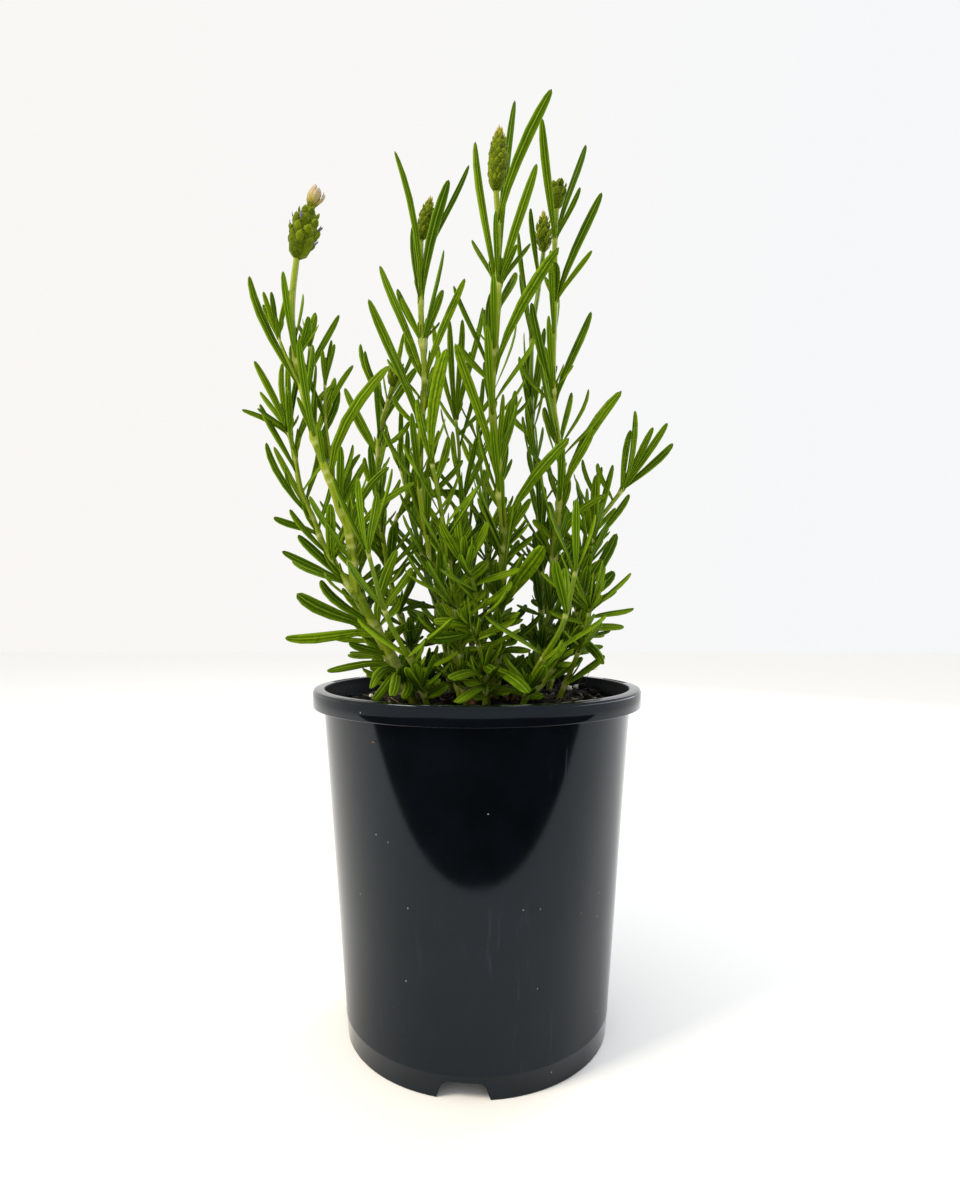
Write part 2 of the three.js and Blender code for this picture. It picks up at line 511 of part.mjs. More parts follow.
const HANDLE_REACH = 2;           // a curve passes half as far out as its handle
function bendOf(leaf) {
  const middle = leaf.base.clone().lerp(leaf.tip, 0.5);
  const chord = leaf.tip.clone().sub(leaf.base);
  if (!leaf.traced) {
    const outward = new THREE.Vector3(chord.x, chord.y, 0).normalize();
    const sag = new THREE.Vector3(0, 0, -leaf.bow * BOW_SAG);
    return middle.addScaledVector(outward, leaf.bow).add(sag);
  }
  const length = Math.hypot(chord.x, chord.z);
  return middle.add(new THREE.Vector3(-chord.z / length, 0, chord.x / length)
    .multiplyScalar(leaf.bow * HANDLE_REACH));
}

function centreLine(leaf, steps) {
  const curve = new THREE.QuadraticBezierCurve3(leaf.base, bendOf(leaf), leaf.tip);
  return steps.map((share) => curve.getPoint(share));
}

// The leaves that grow by rule: a pair at each node up a branch, each pair square to the last,
// wide and short low down and narrow and longer higher up, with a few small leaves between.
function grownLeaves(key, branch, index) {
  const draw = seeded(SEED + SEED_STEP * index);
  const within = ([least, further]) => least + further * draw();
  const foot = Math.max(branch.route[0][2] + 6, SOIL_TOP) + FIRST_NODE;
  const free = !(key in LEAVES);
  const top = branch.route.at(-1)[2] - (free ? TIP_GAP : BUD_GAP);
  const leaves = [];
  if (branch.root < THIN_SHOOT) return leaves;
  let turn = free ? 90 * draw() : within(SIDE_FAN);
  let node = 0;
  let height = foot;
  while (height < top) {
    const low = Math.min((height - SOIL_TOP) / LEAFY_FOOT, 1);
    const length = lerp(...PAIR_LEAF.length, low) * within(PAIR_LEAF.spread);
    const width = lerp(...PAIR_LEAF.width, low);
    for (let side = 0; side < 2; side += 1) {
      const azimuth = turn + 180 * side + PAIR_LEAF.waver * (draw() - 0.5);
      const lean = lerp(...PAIR_LEAF.lean, low);
      leaves.push(grownLeaf(branch, height, azimuth, lean, length, width));
    }
    const small = axilLeaf(branch, height, turn, draw);
    if (node % SMALL_LEAF_EVERY === 0) leaves.push(small);
    node += 1;
    turn = free ? turn + 90 : within(SIDE_FAN);
    height += lerp(...NODE_SPACING, low) * within(NODE_SPREAD);
  }
  if (free) leaves.push(...crownLeaves(branch, top, turn, draw));
  return leaves;
}

// A small leaf over a pair, square to it and on one side or the other.
function axilLeaf(branch, height, turn, draw) {
  const waver = AXIL_LEAF.waver * (draw() - 0.5);
  const azimuth = turn + 90 + waver + 180 * Math.round(draw());
  const length = AXIL_LEAF.length + AXIL_LEAF.longer * draw();
  return grownLeaf(branch, height + AXIL_LEAF.rise, azimuth, AXIL_LEAF.lean, length, AXIL_LEAF.width);
}

// The nearly upright leaves round the tip of a branch.
function crownLeaves(branch, height, turn, draw) {
  return Array.from({ length: CROWN_LEAF.count }, (_, place) => {
    const azimuth = turn + (360 / CROWN_LEAF.count) * place + CROWN_LEAF.waver * draw();
    const lean = CROWN_LEAF.lean + CROWN_LEAF.further * draw();
    const length = CROWN_LEAF.length + CROWN_LEAF.longer * draw();
    return grownLeaf(branch, height, azimuth, lean, length, CROWN_LEAF.width);
  });
}

function grownLeaf(branch, height, azimuth, lean, length, width) {
  const base = pointAt(branch, height);
  const out = length * Math.sin(radians(lean));
  const turn = radians(azimuth);
  const tip = base.clone().add(new THREE.Vector3(
    out * Math.cos(turn), out * Math.sin(turn), length * Math.cos(radians(lean))));
  return { base, tip, bow: LEAF_BOW * length, width, roll: 0, traced: false };
}

// A three-cornered section: two edges and a keel.
function keeledRing(centre, edge, face, half, thick) {
  return [centre.clone().addScaledVector(edge, half), centre.clone().addScaledVector(face, thick),
    centre.clone().addScaledVector(edge, -half)];
}

// A loft whose rings may run either way round.
function outwardLoft(rings) {
  const solid = toSolid(loft(rings));
  return solid.volume() > 0 ? solid : toSolid(loft(rings.map((ring) => [...ring].reverse())));
}

// The cross-section's direction across the blade and out of its upper face.
function bladeAxes(leaf, direction) {
  const chord = leaf.tip.clone().sub(leaf.base);
  const edge = new THREE.Vector3(-chord.y, chord.x, 0).normalize();
  if (edge.y > 0) edge.negate();
  edge.addScaledVector(direction, -edge.dot(direction)).normalize();
  const face = edge.clone().cross(direction).normalize();
  if (edge.clone().cross(chord).z < 0) face.negate();
  const roll = radians(leaf.roll);
  const turnedEdge = edge.clone().multiplyScalar(Math.cos(roll)).addScaledVector(face, -Math.sin(roll));
  const turnedFace = face.clone().multiplyScalar(Math.cos(roll)).addScaledVector(edge, Math.sin(roll));
  return [turnedEdge, turnedFace];
}

const BLADE_STATIONS = {
  long: [[0, 0.3], [0.22, 0.72], [0.5, 1], [0.8, 0.82], [1, 0]],
  middle: [[0, 0.3], [0.3, 0.84], [0.72, 0.95], [1, 0]],
  short: [[0, 0.35], [0.5, 1], [1, 0]],
};

function bladeSolid(leaf) {
  const length = leaf.tip.distanceTo(leaf.base);
  const kind = length > LONG_BLADE ? 'long' : length > SHORT_BLADE ? 'middle' : 'short';
  const stations = BLADE_STATIONS[kind];
  const curve = new THREE.QuadraticBezierCurve3(leaf.base, bendOf(leaf), leaf.tip);
  const rings = stations.map(([share, swell]) => {
    const centre = curve.getPoint(share);
    if (swell === 0) return [centre];
    const [edge, face] = bladeAxes(leaf, curve.getTangent(share).normalize());
    return keeledRing(centre, edge, face, (leaf.width * swell) / 2, BLADE_THICKNESS);
  });
  return outwardLoft(rings);
}

// ---- keeping the leaves of neighbouring stems apart ------------------------------------------
// The least distance between two straight pieces.
function pieceDistance(a, b, c, d) {
  const u = b.clone().sub(a);
  const v = d.clone().sub(c);
  const w = a.clone().sub(c);
  const [uu, uv, vv, uw, vw] = [u.dot(u), u.dot(v), v.dot(v), u.dot(w), v.dot(w)];
  const wide = uu * vv - uv * uv;
  let s = wide > 1e-9 ? Math.min(Math.max((uv * vw - vv * uw) / wide, 0), 1) : 0;
  const t = Math.min(Math.max((uv * s + vw) / vv, 0), 1);
  s = Math.min(Math.max((uv * t - uw) / uu, 0), 1);
  return w.addScaledVector(u, s).addScaledVector(v, -t).length();
}

const occupied = [];
function occupy(node, points, radius) {
  for (let i = 1; i < points.length; i += 1) {
    occupied.push({ node, from: points[i - 1], to: points[i], radius });
  }
}

// How low a leaf may hang: over the soil inside the pot, and over the rim near it and outside.
function leafFloor(x, y) {
  const inside = Math.hypot(x, y) < RIM_RADIUS - RIM_ZONE;
  return inside ? soilHeight(x, y) + OVER_SOIL : POT_HEIGHT + OVER_RIM;
}

const LINE_STEPS = [0, 0.2, 0.4, 0.6, 0.8, 1];
function isClear(node, leaf) {
  const line = centreLine(leaf, LINE_STEPS);
  const radius = leaf.width / 2;
  for (const point of line.slice(1)) {
    if (point.z < leafFloor(point.x, point.y)) return false;
    if (Math.abs(point.x) > PLANT_REACH.x || Math.abs(point.y) > PLANT_REACH.y) return false;
    if (point.z > PLANT_REACH.z) return false;
  }
  return !occupied.some((other) => other.node !== node && line.some((point, i) => i > 0
    && pieceDistance(line[i - 1], point, other.from, other.to)
      < radius + other.radius + BLADE_CLEARANCE));
}

// A leaf that would cross another stem's is bent clear: it swings back or forth a little at a
// time, and one that finds no room is left out. A placed leaf's tip moves along the line of sight
// from a point in front of the plant, so that the outline from there stays.
const SWINGS = [0, 6, -6, 12, -12, 18, -18, 25, -25, 33, -33, 42, -42];
const FRONT_EYE = vec([1.5, -369.4, 207.9]);
const SWING_SHIFT = 0.8;          // millimetres in depth of a placed leaf's tip for each step
const SWING_TURN = 1.6;           // degrees of a grown leaf round its stem for each step
function settle(node, leaf) {
  for (const swing of SWINGS) {
    const trial = { ...leaf, tip: leaf.tip.clone() };
    if (leaf.traced) {
      const sight = leaf.tip.clone().sub(FRONT_EYE);
      trial.tip.addScaledVector(sight, (swing * SWING_SHIFT) / sight.y);
    } else {
      const arm = leaf.tip.clone().sub(leaf.base).applyAxisAngle(
        new THREE.Vector3(0, 0, 1), radians(swing * SWING_TURN));
      trial.tip.copy(leaf.base).add(arm);
    }
    if (isClear(node, trial)) {
      occupy(node, centreLine(trial, LINE_STEPS), trial.width / 2);
      return trial;
    }
  }
  return null;
}

// ---- flower spikes ---------------------------------------------------------------------------
function spikeAxes(spike) {
  const base = vec(spike.base);
  const axis = vec(spike.tip).sub(base);
  const direction = axis.clone().normalize();
  const across = new THREE.Vector3(1, 0, 0).addScaledVector(direction, -direction.x).normalize();
  return { base, axis, direction, across, along: direction.clone().cross(across) };
}

function spikeRadius(spike, share) {
  const next = SPIKE_PROFILE.findIndex(([at]) => at >= share);
  const [highAt, high] = SPIKE_PROFILE[Math.max(next, 1)];
  const [lowAt, low] = SPIKE_PROFILE[Math.max(next, 1) - 1];
  return spike.radius * lerp(low, high, (share - lowAt) / (highAt - lowAt));
}

// One ring of a spike; every second corner is a bract's point, raised and pushed out.
function spikeRing(spike, axes, share, turn, swell, point) {
  const { base, axis, direction, across, along } = axes;
  const corners = spike.around * 2;
  const radius = spikeRadius(spike, share) * swell;
  return Array.from({ length: corners }, (_, corner) => {
    const angle = ((corner + turn) / corners) * 2 * Math.PI;
    const tip = (corner + turn) % 2 === 0 ? point : 0;
    const reach = radius * (1 + 0.22 * tip);
    return base.clone().addScaledVector(axis, share)
      .addScaledVector(direction, BRACT_RISE * tip * (spike.radius / 6))
      .addScaledVector(across, reach * Math.cos(angle))
      .addScaledVector(along, reach * Math.sin(angle));
  });
}

// Rows of overlapping bracts: each row flares from under the one below and ends in points.
function spikeMesh(name, spike) {
  const axes = spikeAxes(spike);
  const rings = [];
  const pitch = 1 / spike.rows;
  for (let row = 0; row < spike.rows; row += 1) {
    const share = row * pitch;
    rings.push(spikeRing(spike, axes, share, 0, 0.78, 0));
    rings.push(spikeRing(spike, axes, share + pitch * 0.8, row % 2, 0.98, 1));
  }
  rings.push([axes.base.clone().add(axes.axis)]);
  return toMesh(name, toSolid(loft(rings)), name.startsWith('spike') ? SPIKE_GREEN : BARK);
}

// One pointed bract of the tuft, rooted inside it and leaning out and up.
function bractSolid(root, direction, outward, size) {
  const edge = direction.clone().cross(outward).normalize();
  const tip = root.clone().addScaledVector(direction, size.length)
    .addScaledVector(outward, size.length * size.lean);
  return outwardLoft([keeledRing(root, edge, outward, size.width / 2, size.thickness), [tip]]);
}

// The pale tuft of sterile bracts that crowns the open spike.
function tuftMesh() {
  const spike = SPIKES.spike_open;
  const { base, axis, direction, across, along } = spikeAxes(spike);
  const seat = base.clone().add(axis).addScaledVector(direction, GAP + 0.05);
  const solids = [rod([seat, seat.clone().addScaledVector(direction, 3)], 1.1, 1.3, 6)];
  for (let place = 0; place < TUFT.bracts; place += 1) {
    const angle = (place / TUFT.bracts) * 2 * Math.PI + 0.4;
    const outward = across.clone().multiplyScalar(Math.cos(angle))
      .addScaledVector(along, Math.sin(angle));
    const root = seat.clone().addScaledVector(direction, 1).addScaledVector(outward, 0.5);
    const length = TUFT.length * (place % 2 ? 0.7 : 1);
    solids.push(bractSolid(root, direction, outward, { ...TUFT, length }));
  }
  return toMesh('tuft', join(solids), TUFT_CREAM);
}

// ---- the whole plant -------------------------------------------------------------------------
const lavender = new THREE.Group();
lavender.name = 'potted_lavender';

const holes = [];
const solidsOf = {};
for (const branch of Object.values(BRANCHES)) {
  (solidsOf[branch.node] ??= []).push(stemSolid(branch));
  occupy(branch.node, branch.route.map(vec), branch.root + 0.2);
  if (hasOwnHole(branch)) {
    holes.push(holeFor(vec(branch.route[0]), vec(branch.route[1]), branch.root, STEM_SIDES));
  }
}
for (const [name, spike] of Object.entries(SPIKES)) {
  occupy(name, [vec(spike.base), vec(spike.tip)], spike.radius + 1.2);
}
occupy('tuft', [vec(SPIKES.spike_open.tip), vec(TUFT.top)], TUFT.width + 1);
for (const [name, stub] of Object.entries(STUBS)) {
  const points = stubPoints(stub);
  occupy(name, points, stub.root);
  holes.push(holeFor(points[0], points[1], stub.root, 6));
  lavender.add(toMesh(name, rod(points, stub.root, stub.top, 6), BARK));
}

for (const [key, rows] of Object.entries(LEAVES)) {
  const branch = BRANCHES[key];
  for (const row of rows) {
    const leaf = settle(branch.node, placedLeaf(branch, row));
    if (leaf) solidsOf[branch.node].push(bladeSolid(leaf));
  }
}
Object.entries(BRANCHES).forEach(([key, branch], index) => {
  for (const grown of grownLeaves(key, branch, index)) {
    const leaf = settle(branch.node, grown);
    if (leaf) solidsOf[branch.node].push(bladeSolid(leaf));
  }
});

for (const [name, solids] of Object.entries(solidsOf)) {
  lavender.add(toMesh(name, join(solids), LEAF_GREEN));
}
for (const [name, spike] of Object.entries(SPIKES)) lavender.add(spikeMesh(name, spike));
lavender.add(tuftMesh());
lavender.add(soil(holes));
lavender.add(pot());

export default lavender;
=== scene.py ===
# %% [markdown]
# # A potted lavender
# This lesson dresses a young lavender in a black nursery pot. The frame already holds every piece
# as a plain solid at its real size: the pot, the peat, the leafy stems and the flower spikes.
# Each step below says what one of them is on the real plant and how it is made here.
# We begin with the frame and keep its box: the finished plant stays inside it.

# %% Load the frame
import math

import bpy
import numpy as np
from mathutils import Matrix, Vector


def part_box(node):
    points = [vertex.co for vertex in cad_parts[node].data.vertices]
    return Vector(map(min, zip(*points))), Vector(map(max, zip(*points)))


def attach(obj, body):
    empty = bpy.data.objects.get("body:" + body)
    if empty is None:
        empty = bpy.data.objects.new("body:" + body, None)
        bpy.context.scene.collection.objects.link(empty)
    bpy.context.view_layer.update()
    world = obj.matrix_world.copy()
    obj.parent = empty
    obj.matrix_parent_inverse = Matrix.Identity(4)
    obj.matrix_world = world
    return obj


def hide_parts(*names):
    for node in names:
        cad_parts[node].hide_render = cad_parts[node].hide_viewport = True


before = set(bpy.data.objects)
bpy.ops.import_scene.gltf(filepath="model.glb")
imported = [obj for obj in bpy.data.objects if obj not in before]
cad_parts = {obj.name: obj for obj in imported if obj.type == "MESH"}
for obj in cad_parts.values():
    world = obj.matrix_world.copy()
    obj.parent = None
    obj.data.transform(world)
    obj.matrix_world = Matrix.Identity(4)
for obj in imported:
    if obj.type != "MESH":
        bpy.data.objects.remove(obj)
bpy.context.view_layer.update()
MM = 0.001

# %% [markdown]
# ## Small helpers
# An operator works on whatever is selected, so we deselect before each one. Colours are written as
# the hex values that a paint program shows, and one function turns them to the linear light that
# shaders want. One more helper adds a shader node with its settings and its links in one line.
# A Mix node of colours takes its share at socket 0 and its colours at 6 and 7; output 2 is the
# mixed colour.

# %% Selection
def deselect():
    if bpy.context.object and bpy.context.object.mode != "OBJECT":
        bpy.ops.object.mode_set(mode="OBJECT")
    bpy.ops.object.select_all(action="DESELECT")


def activate(piece):
    deselect()
    piece.select_set(True)
    bpy.context.view_layer.objects.active = piece


print("active object:", bpy.context.object)


# %% Colour and shader nodes
def linear(hex_colour):
    parts = [int(hex_colour[i : i + 2], 16) / 255 for i in (1, 3, 5)]
    return [c / 12.92 if c <= 0.04045 else ((c + 0.055) / 1.055) ** 2.4 for c in parts] + [1]


def add(tree, kind, links=None, stops=None, **settings):
    """One shader node. Links give each socket a value, or a node or socket to read; stops are a
    colour ramp's (position, hex colour) pairs from low to high; settings are the node's own
    fields."""
    made = tree.nodes.new("ShaderNode" + kind)
    for field, value in settings.items():
        setattr(made, field, value)
    for socket, value in (links or {}).items():
        if isinstance(value, bpy.types.Node):
            value = value.outputs[0]
        if isinstance(value, bpy.types.NodeSocket):
            tree.links.new(value, made.inputs[socket])
        else:
            made.inputs[socket].default_value = value
    for place, (position, colour) in enumerate(stops or []):
        elements = made.color_ramp.elements
        element = elements[place] if place < 2 else elements.new(1)
        element.position = position
        element.color = linear(colour)
    return made


def new_material(name, **shader):
    """A material with one Principled shader, and its node tree ready for a pattern."""
    material = bpy.data.materials.new(name)
    material.use_nodes = True
    tree = material.node_tree
    tree.nodes.clear()
    finish = add(tree, "BsdfPrincipled", {k.replace("_", " "): v for k, v in shader.items()})
    add(tree, "OutputMaterial", {"Surface": finish})
    return material, tree, finish


def wire(tree, finish, **sockets):
    """Links patterns to the Principled shader's sockets."""
    for socket, source in sockets.items():
        source = source.outputs[0] if isinstance(source, bpy.types.Node) else source
        tree.links.new(source, finish.inputs[socket.replace("_", " ")])


print("linear mid grey:", round(linear("#808080")[0], 3))

# %% [markdown]
# ## Camera
# The photograph was taken close to the plant with a wide lens, a little above the rim and almost
# level. The pot's rim, wall and base give the distance, height and lens: 369 mm in front of the
# pot's axis, 208 mm up, tilted up by 0.7 degrees.

# %% The camera
CAMERA_PLACE = (1.5, -369.4, 207.9)
CAMERA_TILT = 0.012
LENS = 21.46
SENSOR = 36
CLIP_START = 0.01

camera = bpy.data.objects.new("camera", bpy.data.cameras.new("camera"))
bpy.context.scene.collection.objects.link(camera)
camera.location = [c * MM for c in CAMERA_PLACE]
camera.rotation_euler = (math.pi / 2 + CAMERA_TILT, 0, 0)
camera.data.lens = LENS
camera.data.sensor_width = SENSOR
camera.data.clip_start = CLIP_START
bpy.context.scene.camera = camera
bpy.context.scene.view_settings.view_transform = "Standard"
print("camera at", CAMERA_PLACE, "mm, lens", LENS, "mm")

# %% [markdown]
# ## Floor, sky and lamps
# A pale floor and an even white sky are the soft studio light. The sky is a little warmer on the
# left and cooler on the right, as the two sides of the real pot are. The pot is glossy, so what it
# mirrors matters: the lower wall mirrors the pale floor in front of it, and the upper wall mirrors
# the dark room beyond that floor. A dark card that only shows in reflections stands for the room.

# %% Floor
FLOOR_REACH = 3.0

deselect()
bpy.ops.mesh.primitive_plane_add(size=2 * FLOOR_REACH, location=(0, 0, 0))
floor = bpy.context.object
floor.name = "floor"
# Matt paper scatters all light alike, so it is rough, without a grain that would show.
paper, _, _ = new_material("matt_white_paper", Base_Color=linear("#fbfbf9"), Roughness=0.9)
floor.data.materials.append(paper)
print("floor", 2 * FLOOR_REACH, "m wide")

# %% Dark card in front, for the glossy wall to mirror
CARD_EDGE = -0.229          # the card's near edge in front of the pot, and beside it
CARD_SIDE_EDGE = -0.167
CARD_SIDE = 0.62
CARD_HALF = 1.2
CARD_FAR = -2.2
CARD_LIFT = 0.0006
CARD_STRIPS = 24

deselect()
bpy.ops.mesh.primitive_grid_add(x_subdivisions=CARD_STRIPS, y_subdivisions=1, size=2)
dark_card = bpy.context.object
dark_card.name = "dark_card"
for corner in dark_card.data.vertices:
    x = corner.co.x * CARD_HALF
    near = CARD_EDGE + (CARD_SIDE_EDGE - CARD_EDGE) * min(abs(x) / CARD_SIDE, 1) ** 2
    corner.co = (x, near if corner.co.y > 0 else CARD_FAR, CARD_LIFT)
# Black card soaks up light; only the pot's gloss sees it.
soot, _, _ = new_material("black_card", Base_Color=linear("#060708"), Roughness=1.0)
dark_card.data.materials.append(soot)
dark_card.visible_camera = False
dark_card.visible_diffuse = False
dark_card.visible_shadow = False
dark_card.visible_transmission = False
print("card from", CARD_EDGE, "to", CARD_FAR, "m in front")

# %% Sky
SKY_STRENGTH = 0.97

sky = bpy.data.worlds.new("soft_white_studio")
bpy.context.scene.world = sky
sky.use_nodes = True
tree = sky.node_tree
tree.nodes.clear()
sideways = add(tree, "SeparateXYZ", {0: add(tree, "TexCoord").outputs["Generated"]})
share = add(tree, "MapRange", {"Value": sideways, "From Min": -1.0, "From Max": 1.0})
tint = add(tree, "ValToRGB", {"Fac": share}, stops=[(0.0, "#fffbf5"), (1.0, "#f8fbff")])
glow = add(tree, "Background", {"Color": tint, "Strength": SKY_STRENGTH})
add(tree, "OutputWorld", {"Surface": glow})
print("sky:", sky.name)


# %% Lamps
def lamp(name, place, aim, size, watts, colour):
    light = bpy.data.lights.new(name, "AREA")
    light.size = size
    light.energy = watts
    light.color = linear(colour)[:3]
    holder = bpy.data.objects.new(name, light)
    bpy.context.scene.collection.objects.link(holder)
    holder.location = place
    holder.rotation_euler = (Vector(aim) - Vector(place)).to_track_quat("-Z", "Y").to_euler()


PLANT_MIDDLE = (0, 0, 0.25)
lamp("window_left", (-0.9, -0.55, 1.15), PLANT_MIDDLE, 0.4, 16, "#fff2dc")
lamp("fill_behind", (0.7, 0.8, 0.9), PLANT_MIDDLE, 0.8, 6, "#eef5ff")

# %% [markdown]
# ## The pot
# A nursery pot is injection moulded in one piece. Its wall is a plain tapered tube, so a circle is
# extruded from ring to ring up the outside, over the rim band and down the inside to the floor.
# Each step is an extrude and a resize about the pot's axis. Small extra rings round the edges,
# because a moulded edge is never sharp. A ring is written as its radius and its height.

# %% The pot's sizes
_, pot_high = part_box("pot")
RIM = pot_high.x / MM
TOP = pot_high.z / MM
BASE = 64.9
UNDER_BAND = 77.1
BAND = 8.6              # height of the band under the rim
WALL = 1.6
RING = 6.1              # width of the flat ring on the rim
FLOOR_UNDER = 7.7
FLOOR_PLATE = 1.9
MOULD_LINE = 10.6       # the joint of the mould's two halves
POT_CORNERS = 192


def wall(height):
    """The wall's outer radius at a height."""
    return BASE + (UNDER_BAND - BASE) * height / (TOP - BAND)


def ledge(drop, step):
    """Two rings of a faint step inside the wall, a drop below the rim."""
    height = TOP - drop
    return [(wall(height) - WALL + step, height + 0.5), (wall(height) - WALL + step - 0.2, height)]


print("pot:", round(2 * RIM, 1), "mm wide,", round(TOP, 1), "mm high")

# %% The pot's rings
def next_ring(shift, shares, centre):
    """In edit mode: extrudes the chosen ring by a shift and resizes it about a centre."""
    bpy.ops.mesh.extrude_region_move(TRANSFORM_OT_translate={"value": shift})
    bpy.ops.transform.resize(value=shares, center_override=centre)


def faces_outward():
    """In edit mode: turns every face outward, and goes back to object mode."""
    bpy.ops.mesh.select_all(action="SELECT")
    bpy.ops.mesh.normals_make_consistent(inside=False)
    bpy.ops.object.mode_set(mode="OBJECT")


foot_rings = [
    (BASE - 2.3, FLOOR_UNDER), (BASE - 2.25, 0.6), (BASE - 1.9, 0.05), (BASE - 0.35, 0),
    (BASE, 0.35)]
wall_rings = [
    (wall(MOULD_LINE - 0.5), MOULD_LINE - 0.5), (wall(MOULD_LINE) + 0.14, MOULD_LINE),
    (wall(MOULD_LINE + 0.5), MOULD_LINE + 0.5), (wall(60), 60), (wall(110), 110),
    (wall(TOP - 2.2), TOP - 2.2), (wall(TOP - 1.6) + 0.5, TOP - 1.7)]
band_rings = [
    (RIM - 2.1, TOP - 1.7), (RIM - 1.8, TOP - 2.2), (RIM - 1.9, TOP - BAND + 0.35),
    (RIM - 1.5, TOP - BAND), (RIM - 0.4, TOP - BAND), (RIM - 0.18, TOP - BAND + 0.2),
    (RIM - 0.1, TOP - BAND + 0.6), (RIM, TOP - 1.5), (RIM - 0.1, TOP - 1.25),
    (RIM - 0.4, TOP - 1.1), (RIM - 0.5, TOP - 0.5), (RIM - 0.7, TOP - 0.15), (RIM - 1.1, TOP),
    (RIM - RING + 0.6, TOP), (RIM - RING + 0.1, TOP - 0.4)]
inside_rings = ledge(4.5, 0.4) + ledge(7, 0.3) + ledge(9.5, 0.2) + ledge(12, 0.1) + [
    (wall(FLOOR_UNDER + 3) - WALL, FLOOR_UNDER + 3),
    (wall(FLOOR_UNDER + 2) - WALL - 1, FLOOR_UNDER + FLOOR_PLATE)]
pot_rings = foot_rings + wall_rings + band_rings + inside_rings

deselect()
bpy.ops.mesh.primitive_circle_add(vertices=POT_CORNERS, radius=pot_rings[0][0] * MM,
                                  fill_type="NGON", location=(0, 0, pot_rings[0][1] * MM))
pot = bpy.context.object
pot.name = "pot_dressed"
bpy.ops.object.transform_apply(location=True)
bpy.ops.object.mode_set(mode="EDIT")
for (radius, height), (next_radius, next_height) in zip(pot_rings, pot_rings[1:]):
    share = next_radius / radius
    next_ring((0, 0, (next_height - height) * MM), (share, share, 1), (0, 0, next_height * MM))
faces_outward()
print("pot:", len(pot.data.polygons), "faces from", len(pot_rings), "rings")

# %% [markdown]
# ## Notches, drain holes and hanger slots
# The base skirt is cut by drainage notches, the floor has round drain holes, and the flat ring of
# the rim has two curved slots that a hanger hooks into. Each cutter is a simple closed form, and a
# Boolean modifier takes it out of the pot: that keeps the edges crisp, as the mould leaves them.

# %% Cutting the pot
NOTCH_AZIMUTHS = [265, 355, 85, 175]
NOTCH_TOP = 18
NOTCH_SPREAD = 1.6      # the width of the notch's foot against its top
NOTCH_CORNER = 2.5
NOTCH_DEPTH = 14
DRAIN = 5
DRAIN_CIRCLE = 47
DRAIN_DEPTH = 12
SLOT_SPANS = [(8, 26), (149, 168)]
SLOT_RADII = (77.9, 80.4)
SLOT_DEPTH = 6
SLOT_STEPS = 18
SOFT_ANGLE = 32         # degrees; an edge that is sharper than this stays crisp


def cut(piece, cutter):
    activate(piece)
    knife = piece.modifiers.new("cut", "BOOLEAN")
    knife.operation = "DIFFERENCE"
    knife.solver = "EXACT"
    knife.object = cutter
    bpy.ops.object.modifier_apply(modifier=knife.name)
    bpy.data.objects.remove(cutter)


def select_where(piece, test, kind="VERT"):
    """In edit mode: selects the corners or edges whose middle passes the test."""
    bpy.ops.object.mode_set(mode="EDIT")
    bpy.ops.mesh.select_mode(type=kind)
    bpy.ops.mesh.select_all(action="DESELECT")
    bpy.ops.object.mode_set(mode="OBJECT")
    corners = piece.data.vertices
    if kind == "VERT":
        for corner in corners:
            corner.select = test(corner.co)
    else:
        for edge in piece.data.edges:
            ends = [corners[i].co for i in edge.vertices]
            edge.select = all(test(end) for end in ends)
    bpy.ops.object.mode_set(mode="EDIT")


def notch_cutter(azimuth):
    """A block with a wider foot and two rounded upper edges, across the base skirt."""
    turn = math.radians(azimuth)
    deselect()
    block = (NOTCH_DEPTH * MM, NOTCH_TOP * MM, 2 * FLOOR_UNDER * MM)
    bpy.ops.mesh.primitive_cube_add(size=1, scale=block)
    cutter = bpy.context.object
    bpy.ops.object.transform_apply(scale=True)
    select_where(cutter, lambda co: co.z < 0)
    bpy.ops.transform.resize(value=(1, NOTCH_SPREAD, 1), center_override=(0, 0, 0))
    select_where(cutter, lambda co: co.z > 0, "EDGE")
    bpy.ops.object.mode_set(mode="OBJECT")
    for edge in cutter.data.edges:
        ends = [cutter.data.vertices[i].co for i in edge.vertices]
        edge.select = edge.select and abs(ends[0].y - ends[1].y) < MM
    bpy.ops.object.mode_set(mode="EDIT")
    bpy.ops.mesh.bevel(offset=NOTCH_CORNER * MM, segments=5)
    bpy.ops.object.mode_set(mode="OBJECT")
    cutter.rotation_euler = (0, 0, turn)
    cutter.location = (BASE * MM * math.cos(turn), BASE * MM * math.sin(turn), 0)
    return cutter


def drain_cutter(azimuth):
    turn = math.radians(azimuth)
    deselect()
    bpy.ops.mesh.primitive_cylinder_add(
        vertices=40, radius=DRAIN * MM, depth=DRAIN_DEPTH * MM,
        location=(DRAIN_CIRCLE * MM * math.cos(turn), DRAIN_CIRCLE * MM * math.sin(turn),
                  FLOOR_UNDER * MM))
    return bpy.context.object


